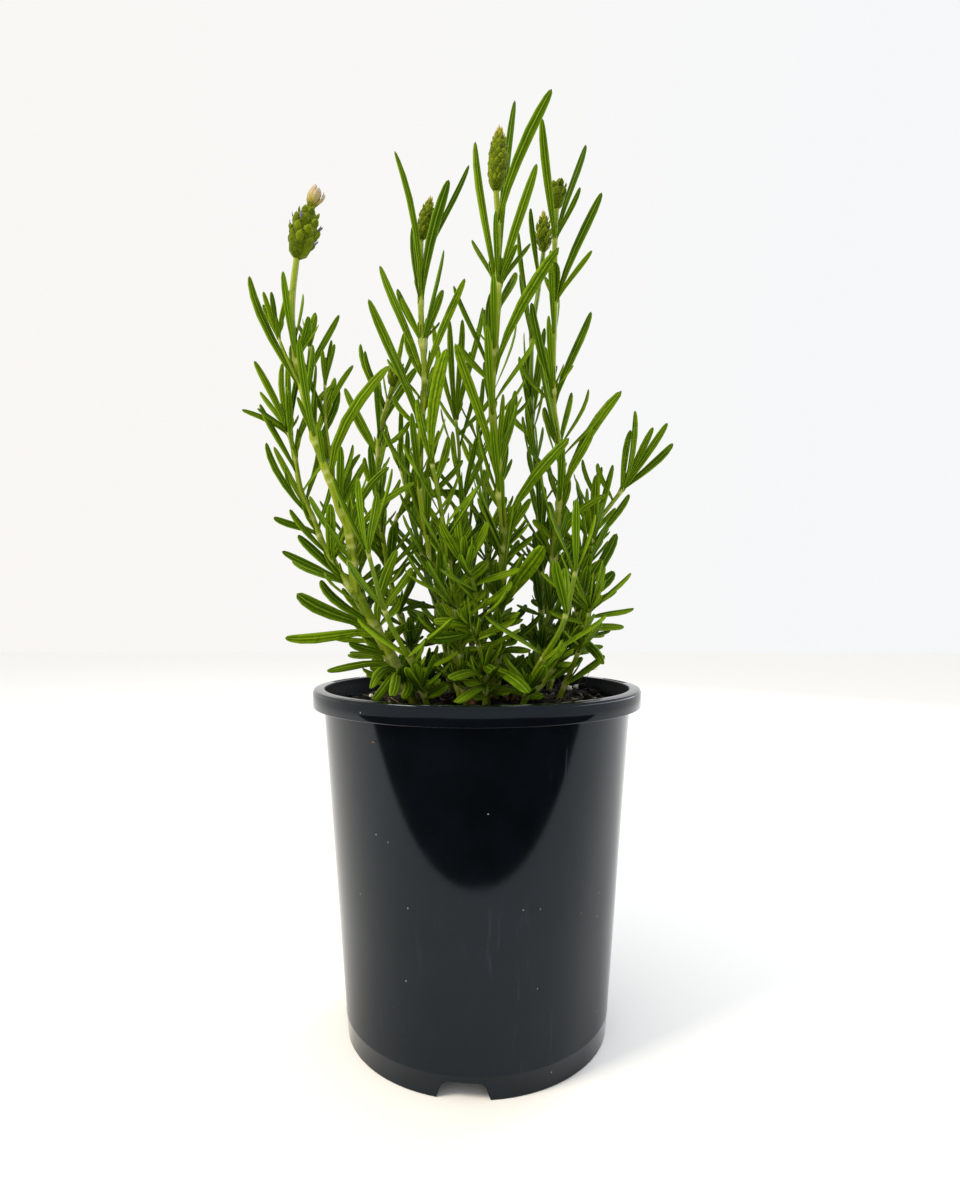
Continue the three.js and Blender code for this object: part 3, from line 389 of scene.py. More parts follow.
def slot_cutter(start, end):
    """An upright strip, spun about the pot's axis and closed."""
    turn = math.radians(start)
    inner, outer = (r * MM for r in SLOT_RADII)
    deselect()
    bpy.ops.mesh.primitive_plane_add(size=1, rotation=(math.pi / 2, 0, 0))
    cutter = bpy.context.object
    cutter.scale = (outer - inner, SLOT_DEPTH * MM, 1)
    cutter.location = ((inner + outer) / 2, 0, TOP * MM)
    bpy.ops.object.transform_apply(location=True, rotation=True, scale=True)
    bpy.ops.object.mode_set(mode="EDIT")
    bpy.ops.mesh.select_all(action="SELECT")
    bpy.ops.transform.rotate(value=-turn, orient_axis="Z", center_override=(0, 0, 0))
    bpy.ops.mesh.spin(steps=SLOT_STEPS, angle=math.radians(start - end), center=(0, 0, 0),
                      axis=(0, 0, 1))
    bpy.ops.mesh.select_all(action="SELECT")
    bpy.ops.mesh.remove_doubles(threshold=0.01 * MM)
    faces_outward()
    angles = [math.degrees(math.atan2(v.co.y, v.co.x)) for v in cutter.data.vertices]
    print("slot from", round(min(angles)), "to", round(max(angles)), "degrees,",
          len(cutter.data.polygons), "faces")
    return cutter


for azimuth in NOTCH_AZIMUTHS:
    cut(pot, notch_cutter(azimuth))
    cut(pot, drain_cutter(azimuth))
for start, end in SLOT_SPANS:
    cut(pot, slot_cutter(start, end))
activate(pot)
bpy.ops.object.shade_smooth_by_angle(angle=math.radians(SOFT_ANGLE))
print("pot after cutting:", len(pot.data.polygons), "faces")

# %% [markdown]
# ## Moulded black polypropylene
# The pot is black polypropylene, injection moulded against polished steel: nearly black, a soft
# mirror, with faint flow lines down the wall, fine scratches from stacking and a dust of specks.
# The scratches are hair lines, drawn a little coarser than they are so that they show.

# %% Pot material: scratches, dust and flow
SCRATCH_SPACING = 1.4 * MM      # between hair lines round the wall
SPECK_SPACING = 7 * MM
CLOUD = 17 * MM
MIRROR = 0.34           # how strongly the clean outer wall mirrors

plastic, tree, finish = new_material("moulded_black_polypropylene", IOR=1.49,
                                     Specular_IOR_Level=MIRROR, Specular_Tint=linear("#d2e3f6"))
place = add(tree, "TexCoord").outputs["Object"]
upright = add(tree, "Mapping", {"Vector": place, "Scale": (1, 1, 0.018)})
hairs = add(tree, "TexNoise", {"Vector": upright, "Scale": 0.5 / SCRATCH_SPACING, "Detail": 2.0,
                               "Roughness": 0.7})
patches = add(tree, "TexNoise", {"Vector": place, "Scale": 22.0, "Detail": 3.0})
fine_lines = add(tree, "MapRange", {"Value": hairs, "From Min": 0.6, "From Max": 0.72})
where_worn = add(tree, "MapRange", {"Value": patches, "From Min": 0.5, "From Max": 0.68})
worn = add(tree, "Math", {0: fine_lines, 1: where_worn}, operation="MULTIPLY")
cells = add(tree, "TexVoronoi", {"Vector": place, "Scale": 1 / SPECK_SPACING})
dot = add(tree, "MapRange", {"Value": cells, "From Min": 0.06, "From Max": 0.035})
pick = add(tree, "MapRange", {"Value": add(tree, "SeparateColor", {0: cells.outputs["Color"]}),
                              "From Min": 0.55, "From Max": 0.6})
dust = add(tree, "Math", {0: dot, 1: pick}, operation="MULTIPLY")

# %% Pot material: colour, gloss and bump
cloud = add(tree, "TexNoise", {"Vector": place, "Scale": 1 / CLOUD, "Detail": 4.0})
body = add(tree, "ValToRGB", {"Fac": cloud}, stops=[(0.35, "#04070a"), (0.65, "#070b10")])
# Coats of colour, one over another: where each one lies, how strong it is, and its colour.
for mask, strength, colour in [(worn, 0.35, "#39424c"), (dust, 0.7, "#8c938f")]:
    coat = add(tree, "Math", {0: mask, 1: strength}, operation="MULTIPLY")
    body = add(tree, "Mix", {0: coat, 6: body, 7: linear(colour)}, data_type="RGBA").outputs[2]
gloss = add(tree, "Math", {0: cloud, 1: 0.04, 2: 0.07}, operation="MULTIPLY_ADD")
gloss = add(tree, "Math", {0: worn, 1: 0.22, 2: gloss}, operation="MULTIPLY_ADD")
grain = add(tree, "TexNoise", {"Vector": place, "Scale": 900.0, "Detail": 1.0})
relief = add(tree, "Math", {0: grain, 1: 0.12}, operation="MULTIPLY")
relief = add(tree, "Math", {0: worn, 1: -1.2, 2: relief}, operation="MULTIPLY_ADD")
bump = add(tree, "Bump", {"Height": relief, "Strength": 0.12, "Distance": 0.1 * MM})
# Inside, peat dust has dulled the wall: where the radius is less than the outer wall's.
reach = add(tree, "VectorMath", {0: add(tree, "Mapping", {"Vector": place, "Scale": (1, 1, 0)})},
            operation="LENGTH").outputs["Value"]
taper = add(tree, "Math", {0: add(tree, "SeparateXYZ", {0: place}).outputs["Z"],
                           1: (BASE - UNDER_BAND) / (TOP - BAND), 2: reach},
            operation="MULTIPLY_ADD")
inside = add(tree, "MapRange", {"Value": taper, "From Min": (BASE - 0.5) * MM,
                                "From Max": (BASE - 0.9) * MM})
gloss = add(tree, "Math", {0: inside, 1: 0.4, 2: gloss}, operation="MULTIPLY_ADD")
mirror = add(tree, "MapRange", {"Value": inside, "To Min": MIRROR, "To Max": 0.1})
wire(tree, finish, Base_Color=body, Roughness=gloss, Normal=bump,
     Specular_IOR_Level=mirror)
pot.data.materials.clear()
pot.data.materials.append(plastic)
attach(pot, "root")
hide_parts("pot")
print("pot dressed in", plastic.name)

# %% [markdown]
# ## One leaf, modelled once
# A lavender leaf is a narrow blade, widest past its middle, with a blunt point and a long even
# taper to its foot. Its margins are rolled down and a vein stands up along its middle, so a cut
# across it looks like a flat letter m. We could draw each leaf by itself, but they differ only in
# size and bend. So a ring with that cut is extruded once from station to station, and the leaf is
# bent and copied later. Stations give the place along the leaf and the half-width there.

# %% Modelling a blade
BLADE_CUT = [(1, -0.3), (0.64, 0.2), (0, -0.04), (-0.64, 0.2), (-1, -0.3),
             (-0.72, -0.42), (0, -0.24), (0.72, -0.42)]
FLAT_CUT = [(1, -0.14), (0.6, 0.12), (0, -0.04), (-0.6, 0.12), (-1, -0.14),
            (-0.8, -0.24), (0, -0.18), (0.8, -0.24)]
SCALE_CUT = [(1, -0.3), (0.5, 0.08), (0, 0.24), (-0.5, 0.08), (-1, -0.3), (0, -0.05)]
UNDER_LEVEL = -0.2


def blade(name, cut_points, stations):
    """A closed blade of length 1 along Y and half-width 1, facing up."""
    deselect()
    bpy.ops.mesh.primitive_circle_add(vertices=len(cut_points), radius=1, fill_type="NGON")
    piece = bpy.context.object
    piece.name = name
    start, half = stations[0]
    for corner, (x, z) in zip(piece.data.vertices, cut_points):
        corner.co = (x * half, start, z * half)
    bpy.ops.object.mode_set(mode="EDIT")
    bpy.ops.mesh.select_all(action="SELECT")
    for (start, half), (end, next_half) in zip(stations, stations[1:]):
        share = next_half / half
        next_ring((0, end - start, 0), (share, 1, share), (0, end, 0))
    bpy.ops.mesh.merge(type="CENTER")
    faces_outward()
    return piece


class Shape:
    """The points, faces and leaf coordinates of a modelled template, in plain arrays."""

    def __init__(self, piece, stations):
        self.points = np.array([corner.co for corner in piece.data.vertices])
        self.faces = [tuple(face.vertices) for face in piece.data.polygons]
        along = self.points[:, 1]
        half = np.interp(along, [s for s, _ in stations], [h for _, h in stations])
        self.across = np.clip(self.points[:, 0] / np.maximum(half, 1e-3), -1, 1)
        self.under = (self.points[:, 2] / np.maximum(half, 1e-3) < UNDER_LEVEL).astype(float)
        print(piece.name, "template:", len(self.points), "points,", len(self.faces), "faces")
        bpy.data.objects.remove(piece)


LONG_LEAF = [(0, 0.46), (0.12, 0.5), (0.3, 0.74), (0.5, 0.93), (0.7, 1), (0.84, 0.9),
             (0.935, 0.68), (0.98, 0.42), (1, 0.12)]
BROAD_LEAF = [(0, 0.36), (0.15, 0.38), (0.34, 0.66), (0.56, 0.94), (0.75, 1), (0.88, 0.87),
              (0.965, 0.56), (1, 0.14)]
SHORT_LEAF = [(0, 0.46), (0.3, 0.82), (0.58, 1), (0.84, 0.74), (0.96, 0.4), (1, 0.1)]
SCALE = [(0, 0.6), (0.25, 0.95), (0.5, 1), (0.75, 0.62), (1, 0.03)]

long_leaf = Shape(blade("long_leaf", BLADE_CUT, LONG_LEAF), LONG_LEAF)
broad_leaf = Shape(blade("broad_leaf", FLAT_CUT, BROAD_LEAF), BROAD_LEAF)
short_leaf = Shape(blade("short_leaf", BLADE_CUT, SHORT_LEAF), SHORT_LEAF)
scale_bract = Shape(blade("scale_bract", SCALE_CUT, SCALE), SCALE)

# %% [markdown]
# ## Bending a copy along its own line
# Every leaf has its own line from the stem to its tip, a curve with two handles. Each point of the
# template moves to its place along that line, as if the blade were bent by hand. A hint says
# which way its upper face looks. The same step bends a straight rod into a stem.

# %% Curves and frames
CLASPING_FOOT = 0.16    # of a blade's length, where curl closes it round the stem
TWIST_FROM = 0.3        # of its length, the place that a twist leaves as it is


def unit(vectors):
    vectors = np.asarray(vectors, float)
    return vectors / np.maximum(np.linalg.norm(vectors, axis=-1, keepdims=True), 1e-9)


def cubic(control, share):
    """Points and directions of a curve with two handles."""
    p0, p1, p2, p3 = (np.asarray(p, float) for p in control)
    t = np.asarray(share, float)[:, None]
    point = (1 - t)**3 * p0 + 3 * (1 - t)**2 * t * p1 + 3 * (1 - t) * t**2 * p2 + t**3 * p3
    slope = (1 - t)**2 * (p1 - p0) + 2 * (1 - t) * t * (p2 - p1) + t**2 * (p3 - p2)
    return point, unit(slope)


def frames(direction, hint, roll=0.0):
    """The directions across a blade and out of its upper face; roll turns the face forward."""
    face = unit(hint - direction * np.sum(direction * hint, axis=-1, keepdims=True))
    edge = np.cross(direction, face)
    sign = np.where(edge[:, 1:2] <= 0, 1.0, -1.0)
    roll = np.broadcast_to(np.asarray(roll, float), (len(face),))[:, None] * sign
    return (edge * np.cos(roll) - face * np.sin(roll),
            face * np.cos(roll) + edge * np.sin(roll))


def bent(shape, control, half, hint, roll=0.0, twist=0.0, curl=0.0):
    """The template's points on the curve. Curl closes the foot of the blade round the stem."""
    along = shape.points[:, 1]
    centre, direction = cubic(control, along)
    edge, face = frames(direction, np.asarray(hint, float), roll + twist * (along - TWIST_FROM))
    x, z = shape.points[:, :1] * half, shape.points[:, 2:] * half
    foot = np.clip(1 - along / CLASPING_FOOT, 0, 1)[:, None]
    z = z + curl * foot * shape.across[:, None]**2 * half
    return centre + edge * x + face * z


print("unit of (3, 4, 0):", unit([3, 4, 0]))


# %% Gathering copies into one piece
def gather(name, parts, materials):
    """One mesh from many bent copies. A part is (shape, points in mm, marks, slot); the marks are
    four numbers per point that the materials read."""
    starts = np.cumsum([0] + [len(points) for _, points, _, _ in parts])
    faces = [tuple(i + start for i in face)
             for (shape, _, _, _), start in zip(parts, starts) for face in shape.faces]
    mesh = bpy.data.meshes.new(name)
    mesh.from_pydata(np.vstack([points for _, points, _, _ in parts]) * MM, [], faces)
    uv = np.vstack([np.stack([shape.across * 0.5 + 0.5, shape.points[:, 1]], 1)
                    for shape, _, _, _ in parts])
    loops = np.empty(len(mesh.loops), int)
    mesh.loops.foreach_get("vertex_index", loops)
    mesh.uv_layers.new(name="blade").data.foreach_set("uv", uv[loops].ravel())
    marks = np.vstack([np.broadcast_to(marks, (len(points), 4)) for _, points, marks, _ in parts])
    layer = mesh.attributes.new("marks", "FLOAT_COLOR", "POINT")
    layer.data.foreach_set("color", np.ascontiguousarray(marks, np.float32).ravel())
    slots = np.concatenate([np.full(len(shape.faces), slot) for shape, _, _, slot in parts])
    for material in materials:
        mesh.materials.append(material)
    mesh.polygons.foreach_set("material_index", slots)
    mesh.shade_smooth()
    piece = bpy.data.objects.new(name, mesh)
    bpy.context.scene.collection.objects.link(piece)
    return piece


def dress(piece, node):
    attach(piece, "root")
    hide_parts(node)


print("ready to gather")

# %% [markdown]
# ## Where the stems run
# A lavender stem is a square rod that wanders a little from joint to joint. For each one we write
# down the piece of the frame that it belongs to, its half-width at the foot and at the top, and
# its route up from the peat, or from the stem that carries it, in millimetres.

# %% Routes
ROUTES = {
    "a0": ("stem_left", 2.6, 2.6, [
        (-25, -8, 149), (-37, -14, 172), (-41, -16, 181), (-48, -20, 195), (-60, -24, 218)]),
    "a1": ("stem_left", 2.4, 1.5, [
        (-59, -24, 215), (-61, -26, 243), (-65, -27, 254), (-70, -28, 269), (-77, -29, 288),
        (-83, -30, 313), (-85, -30, 323), (-88, -30, 341), (-88, -30, 357), (-86, -30, 375)]),
    "a1l": ("stem_left", 0.9, 0.7, [
        (-83, -30, 312), (-89, -34, 325), (-93, -36, 335)]),
    "a1r": ("stem_left", 0.9, 0.7, [
        (-83, -30, 312), (-82, -24, 326), (-82, -20, 337)]),
    "a2": ("stem_left", 1.8, 1.1, [
        (-60, -24, 216), (-73, -23, 236), (-80, -22, 252), (-86, -21, 266), (-89, -20, 281),
        (-92, -20, 295)]),
    "a3": ("stem_left", 0.9, 0.7, [
        (-70, -28, 268), (-71, -25, 282), (-74, -21, 300), (-75, -18, 319)]),
    "b": ("stem_bud_left", 1.9, 1.3, [
        (-22, 8, 148), (-25, 8, 160), (-37, 14, 191), (-47, 18, 223), (-53, 20, 256),
        (-55, 20, 273), (-54, 20, 294), (-53, 20, 306), (-48, 20, 323), (-46, 20, 329)]),
    "b2": ("stem_bud_left", 1.2, 1, [
        (-47, 18, 221), (-48, 18, 242), (-46, 16, 250), (-42, 14, 259)]),
    "c": ("stem_bud_middle", 2, 1.4, [
        (-6, -4, 149), (-9, -4, 166), (-16, -4, 202), (-25, -3, 242), (-29, -2, 268),
        (-29, -2, 297), (-27, -2, 326), (-28, -2, 343), (-29, -2, 364), (-29, -2, 398)]),
    "c2": ("stem_front_tall", 1.6, 1, [
        (-4, -20, 149), (-11, -22, 212), (-18, -22, 259), (-22, -22, 279)]),
    "d": ("stem_back_centre", 1.8, 1, [
        (-1, 14, 148), (-3, 18, 191), (-5, 22, 249), (-10, 24, 280), (-10, 24, 295),
        (-12, 24, 313)]),
    "e": ("stem_tall", 3, 1.7, [
        (8, 4, 148), (11, 4, 197), (14, 4, 247), (12, 4, 265), (11, 4, 282), (8, 4, 311),
        (8, 4, 330), (10, 4, 354), (11, 4, 376), (11, 4, 410), (10, 4, 427)]),
    "f": ("stem_bud_right", 2.2, 1.5, [
        (23, 12, 148), (26, 14, 162), (39, 20, 202), (42, 24, 235), (46, 24, 278), (44, 24, 306),
        (42, 24, 321), (42, 24, 351), (43, 24, 377), (43, 24, 412), (44, 24, 429)]),
    "g": ("stem_bud_back", 1.9, 1.3, [
        (22, 26, 149), (26, 32, 162), (36, 40, 184), (37, 46, 213), (37, 50, 245), (36, 50, 278),
        (32, 50, 319), (32, 50, 365), (36, 50, 396), (39, 50, 418)]),
    "h": ("stem_right", 2, 1.1, [
        (23, -8, 149), (27, -6, 163), (38, 0, 176), (44, 4, 185), (47, 8, 192), (52, 12, 202),
        (55, 16, 210), (60, 24, 232), (65, 30, 249), (69, 34, 258), (76, 38, 267), (83, 42, 276),
        (90, 44, 288)]),
    "i": ("stem_front_left", 1.6, 1.1, [
        (3, -24, 149), (4, -27, 174), (0, -30, 193), (-3, -32, 200)]),
    "j": ("stem_front_right", 1.6, 1.1, [
        (6, -12, 149), (4, -16, 182), (0, -21, 202), (-1, -24, 217), (-5, -26, 228)]),
    "k": ("stem_back_left", 1.8, 1, [
        (-12, 26, 148), (-20, 36, 195), (-34, 50, 245), (-46, 58, 292)]),
    "l": ("stem_back_middle", 1.8, 1, [
        (4, 36, 148), (4, 50, 195), (6, 60, 250), (0, 64, 312)]),
    "m": ("stem_back_right", 1.8, 1, [
        (36, 27, 148), (48, 42, 190), (60, 55, 228), (66, 60, 262)]),
    "n": ("stem_side_left", 1.8, 1, [
        (-34, 10, 148), (-47, 18, 182), (-64, 28, 218), (-73, 32, 258)]),
    "o": ("stem_side_right", 1.8, 1, [
        (37, 6, 148), (46, 1, 170), (53, -5, 190), (57, -8, 208)]),
    "p": ("stem_low_left", 1.7, 1, [
        (-20, -24, 148), (-28, -38, 178), (-40, -52, 205), (-48, -56, 234)]),
    "q": ("stem_low_right", 1.7, 1, [
        (18, -24, 148), (26, -36, 176), (38, -50, 200), (44, -54, 226)]),
}
print(len(ROUTES), "branches")

# %% [markdown]
# ## The leaves that we place one by one
# The leaves that make the plant's outline are placed singly: the height of the leaf's foot on its
# stem, its tip (x, y, z), its width, and how far its middle bows to the left of the straight line.

# %% Placed leaves
PLACED = {
    "a0": [(201, -72, -40, 221, 5.4, 3.5), (198, -84, -36, 215, 6.6, 3.5),
        (196, -91, -30, 194, 5.2, 2.5), (185, -60, -34, 192, 4.6, 1), (182, -64, -10, 186, 3, 0),
        (180, -72, -26, 178, 4.4, -1), (176, -46, -56, 173, 5, -4), (176, -44, -64, 169, 5, 1),
        (174, -36, -66, 171, 5, 2), (172, -32, -60, 169, 5, 5), (170, -18, -52, 172, 5, 3),
        (196, -38, -30, 236, 5.2, 2.5)],
    "a1": [(312, -106, -38, 363, 4, 4.5), (312, -68, -18, 353, 3.2, 0),
        (269, -40, -46, 318, 5.5, 5.5), (274, -74, -38, 294, 2.6, 0),
        (288, -79, -22, 312, 2.4, 0), (288, -84, -36, 307, 2.4, 0), (243, -58, -14, 285, 3.4, 8),
        (243, -41, -36, 274, 3.6, 4), (238, -28, -46, 265, 3.4, 4)],
    "a1l": [(334, -97, -46, 352, 2.6, 0), (334, -96, -37, 356, 2.6, 0),
        (334, -102, -30, 353, 2.6, 0), (334, -87, -41, 355, 2.6, 0)],
    "a1r": [(336, -86, -27, 345, 2.6, 0), (336, -83, -18, 352, 2.6, 0),
        (336, -83, -11, 353, 2.6, 0), (336, -78, -23, 351, 2.6, 0)],
    "a2": [(294, -106, -30, 326, 3.6, -0.5), (293, -110, -8, 318, 3, 0),
        (292, -113.6, -25, 304, 3, -1.5), (294, -102, -38, 301, 2.6, 0),
        (292, -112, -2, 307, 2.6, 0), (295, -98, -10, 332, 3, 2.5), (295, -91, -28, 325, 3, 0),
        (295, -86, -18, 332, 3, 0.8), (281, -72, -6, 323, 4, 5), (252, -99, -34, 286, 3.4, 4),
        (252, -103, -8, 290, 3.2, 0.5), (244, -96, -32, 251, 3.6, 1), (221, -83, -38, 242, 5, 0),
        (219, -92, -32, 235, 3.8, 0.5), (219, -93, -10, 232, 3.6, 1.5)],
    "a3": [(300, -86, -24, 332, 2.8, 1), (300, -62, -12, 330, 2.8, 1.5),
        (318, -71, -14, 340, 2.4, 0), (318, -71, -22, 339, 2.4, 0), (318, -74, -28, 332, 2.4, 0)],
    "b": [(318, -60, 12, 346, 3, 3), (307, -34, 32, 344, 4.8, 1), (322, -35, 12, 344, 3, -1.5),
        (296, -42, 36, 365, 3, -1), (292, -74, 28, 331, 4.2, 1.5), (294, -36, 8, 307, 3.4, -3)],
    "b2": [(257, -14, 2, 286, 4.2, 4.5), (257, -5, 28, 272, 3.8, 6)],
    "c": [(365, -40.7, -19, 434, 3.4, -4.5), (384, -4, -14, 430, 3, -1),
        (367, -14, -15, 422, 5.4, 2), (344, -38, -12, 364, 3.4, 0), (343, -18, 8, 377, 4.4, 0),
        (326, -52, 10, 391, 4.2, 1), (326, -6, -16, 372, 4, 0.5), (301, -53, -22, 359, 4.8, 0.5),
        (367, -33.5, 4, 410, 4.2, 1.5)],
    "c2": [(278, -14, -38, 329, 6.4, 3), (278, -30, -12, 313, 3.8, 1)],
    "d": [(312, -15, 18, 365, 3.6, 0.5), (312, -25, 34, 369, 3.6, 2), (312, 3, 32, 378, 3.8, -2),
        (312, -8, 12, 363, 3.6, -1), (312, -4, 24, 350, 3.2, -1.5)],
    "e": [(410, 38, -9, 472, 5.6, 2.7), (382, 21, 28, 493, 4.2, 1.5),
        (376, -1, 12, 459, 4.6, 2.5), (376, 30, -12, 432, 5, 0), (376, -3, 22, 411, 2.8, 0.5),
        (376, 29, 18, 407, 2.8, 0), (365, 21, 22, 393, 5, -1), (376, 20, -12, 391, 2.8, 0),
        (330, 41, -15, 388, 5.8, 3), (330, 8, 18, 381, 4, 3), (330, -12, -6, 373, 3.2, 1),
        (282, -11, -12, 341, 5.2, 0.5), (282, 20.5, 16, 326, 4.6, -3), (282, 13, -14, 315, 3, 0),
        (282, 17, -4, 314, 3, 0), (249, 45, -22, 291, 6, 2.5), (206, 31, -38, 237, 8, -0.5),
        (198, 20, -30, 205, 5, 2), (182, 25, -34, 188, 5, 2)],
    "f": [(412, 35, 14, 473, 4.8, 1), (412, 62, 36, 473, 4.2, -0.5), (412, 55, 10, 433, 3, -1),
        (377, 70, 30, 442, 5.2, 0.5), (377, 61, 8, 398, 3, 0), (377, 39, 38, 398, 3.4, 0),
        (377, 41, 6, 391, 6, 0), (321, 65, 38, 378, 4.8, -1), (321, 29, 12, 372, 4.6, 1),
        (264, 79, 20, 327, 6, 5), (272, 61, 4, 302, 4.4, -0.5), (297, 38, 34, 322, 4.2, 1.5),
        (240, 67, 0, 267, 4.6, 5.5), (214, 50, -2, 241, 6.8, 0)],
    "g": [(400, 31, 44, 441, 3.6, 1), (366, 24, 44, 427, 3.4, 1.5), (319, 30, 42, 357, 4, 3.5),
        (319, 38, 58, 366, 4.8, -1)],
    "h": [(277, 113.6, 45, 304, 4.6, -2), (276, 113.6, 57, 319, 4.2, -0.5),
        (277, 99, 32, 310, 4, 0), (277, 93, 52, 325, 4, -2), (275, 86, 30, 308, 3.8, 1.5),
        (246, 65, 20, 281, 5.2, 0.3), (246, 78, 42, 291, 4.2, 0), (211, 78, 30, 250, 5.8, -1.5),
        (211, 66, 8, 234, 5, 1), (202, 78, 30, 218, 3.6, 0.5), (193, 80, 20, 198, 5, 2),
        (189, 59, -8, 197, 4.6, 2), (192, 72, 36, 193, 4, 0), (193, 63, -12, 180, 4.8, 3),
        (184, 70, 28, 187, 3.8, 0), (195, 66, 46, 200, 3.8, 0), (180, 46, -28, 188, 4.4, 0),
        (177, 44, -34, 182, 4.4, 0), (210, 58, -4, 236, 5.4, 1), (243, 85, 30, 272, 4.2, -1.5)],
    "i": [(199, -19, -50, 202, 5, -1), (196, -23, -42, 195, 6, 2), (191, 7, -60, 197, 6, 0),
        (177, 23, -58, 171, 6, 3.5), (175, -12, -56, 177, 6, -2), (169, -9, -64, 168, 5, 0)],
    "j": [(227, -17, -34, 248, 4.2, 1), (227, -10, -22, 258, 3.8, 1.5), (227, -6, -42, 241, 4, 0),
        (227, 5, -32, 249, 4, -0.5), (227, 5, -12, 247, 3.6, 0)],
}
print(sum(len(rows) for rows in PLACED.values()), "placed leaves")

# %% [markdown]
# ## The leaves that grow by rule
# The other leaves grow as lavender grows: a pair at each joint, each pair square to the last, wide
# and short low down, narrow and long higher up. The draws are seeded, so the plant is the same
# each time, and the same rule placed the frame's plain blades: our leaves lie where they are.

# %% Seeded draws and places on a stem
SOIL_TOP = 160
SEED = 20
FIRST_JOINT = 8         # up from the peat, or from a branch's bare foot
BARE_FOOT = 6
TIP_GAP = 2             # bare tip of a branch that grows by rule
BUD_GAP = 45            # below a spike, where only placed leaves stand
LEAFY_FOOT = 110        # height over which the low leaves change into the high ones
# each from the lowest joint to the high ones: a leaf's length, lean and width, and the next joint
LENGTHS, LEANS, WIDTHS, JOINT_STEPS = (26, 40), (62, 34), (6, 3.8), (17, 36)
BOW_SHARE = 0.07        # of a grown leaf's length
THIN_SHOOT = 1.3
WORD = 0xFFFFFFFF


def seeded(seed):
    """A seeded draw of numbers from 0 to 1, in 32-bit steps."""
    state = seed

    def draw():
        nonlocal state
        state = (state + 0x6D2B79F5) & WORD
        t = ((state ^ (state >> 15)) * (state | 1)) & WORD
        t = ((t + (((t ^ (t >> 7)) * (t | 61)) & WORD)) & WORD) ^ t
        return (t ^ (t >> 14)) / (WORD + 1)

    return draw


def lerp(low, high, share):
    return low + (high - low) * share


def soil_height(x, y):
    """The peat's surface: lumps, a slight dome, and a heap at the back right."""
    lumps = np.sin(0.21 * x + 0.9) * np.cos(0.17 * y) + 0.6 * np.sin(0.33 * y - 0.12 * x)
    heap = 3.4 * np.exp(-((x - 54)**2 + (y - 40)**2) / (2 * 17**2))
    return SOIL_TOP + 1.2 * lumps + heap - (x * x + y * y) / BASE**2


def point_at(route, height):
    """The point of a straight-edged route at a height."""
    route = np.asarray(route, float)
    return np.array([np.interp(height, route[:, 2], route[:, i]) for i in range(3)])


def grown(route, height, azimuth, lean, length, width):
    """A leaf that leans from upright by an angle and bows a little outwards."""
    foot = point_at(route, height)
    out = length * math.sin(math.radians(lean))
    tip = foot + (out * math.cos(azimuth), out * math.sin(azimuth),
                  length * math.cos(math.radians(lean)))
    return {"foot": foot, "tip": tip, "bow": BOW_SHARE * length, "width": width,
            "placed": False}


draw = seeded(SEED)
print("first draws:", [round(draw(), 4) for _ in range(3)])


# %% Growing a stem's leaves
def grow(key, number):
    _, root, _, route = ROUTES[key]
    draw = seeded(SEED + 101 * number)
    height = max(route[0][2] + BARE_FOOT, SOIL_TOP) + FIRST_JOINT
    free = key not in PLACED
    top = route[-1][2] - (TIP_GAP if free else BUD_GAP)
    leaves = []
    if root < THIN_SHOOT:
        return leaves
    turn = 90 * draw() if free else 62 + 56 * draw()
    joint = 0
    while height < top:
        low = min((height - SOIL_TOP) / LEAFY_FOOT, 1)
        length = lerp(*LENGTHS, low) * (0.85 + 0.35 * draw())
        for side in range(2):
            azimuth = math.radians(turn + 180 * side + 24 * (draw() - 0.5))
            leaves.append(grown(route, height, azimuth, lerp(*LEANS, low), length,
                                lerp(*WIDTHS, low)))
        azimuth = turn + 90 + 60 * (draw() - 0.5)
        azimuth += 180 if draw() >= 0.5 else 0
        small = grown(route, height + 1, math.radians(azimuth), 40, 13 + 8 * draw(), 2.6)
        if joint % 3 == 0:
            leaves.append(small)
        joint += 1
        turn = turn + 90 if free else 62 + 56 * draw()
        height += lerp(*JOINT_STEPS, low) * (0.85 + 0.3 * draw())
    for blade_number in range(4 if free else 0):
        azimuth = math.radians(turn + 90 * blade_number + 30 * draw())
        lean = 16 + 10 * draw()
        leaves.append(grown(route, top, azimuth, lean, 26 + 14 * draw(), 3.6))
    return leaves


print("stem_tall's rule gives", len(grow("e", list(ROUTES).index("e"))), "leaves")

# %% [markdown]
# ## Keeping neighbours apart
# Leaves of neighbouring stems touch and push each other aside. A leaf that would cross another
# stem's is swung back or forth a little at a time until its line is clear, and one that finds no
# room is left out. Lines are compared piece by piece, all at once in arrays.

# %% Distances between lines
REACH = (113.6, 80, 493)
CLEARANCE = 0.45
GROUND_ROOM = 3         # kept between a leaf's line and the peat or the rim
RIM_ROOM = 14           # this near the rim's edge a leaf has to pass over the rim
LINE_STEPS = np.array([0, 0.2, 0.4, 0.6, 0.8, 1])
SWINGS = [0, 6, -6, 12, -12, 18, -18, 25, -25, 33, -33, 42, -42]
SWING_SHIFT = 0.8       # millimetres back for a placed leaf, along the line of sight
SWING_TURN = 1.6        # degrees round the stem for a grown one
HANDLE_REACH = 2        # a curve passes half as far out as its handle
SAG = 0.6               # of its bow, how far a grown leaf's middle hangs


def dot(a, b):
    return np.sum(a * b, axis=-1)


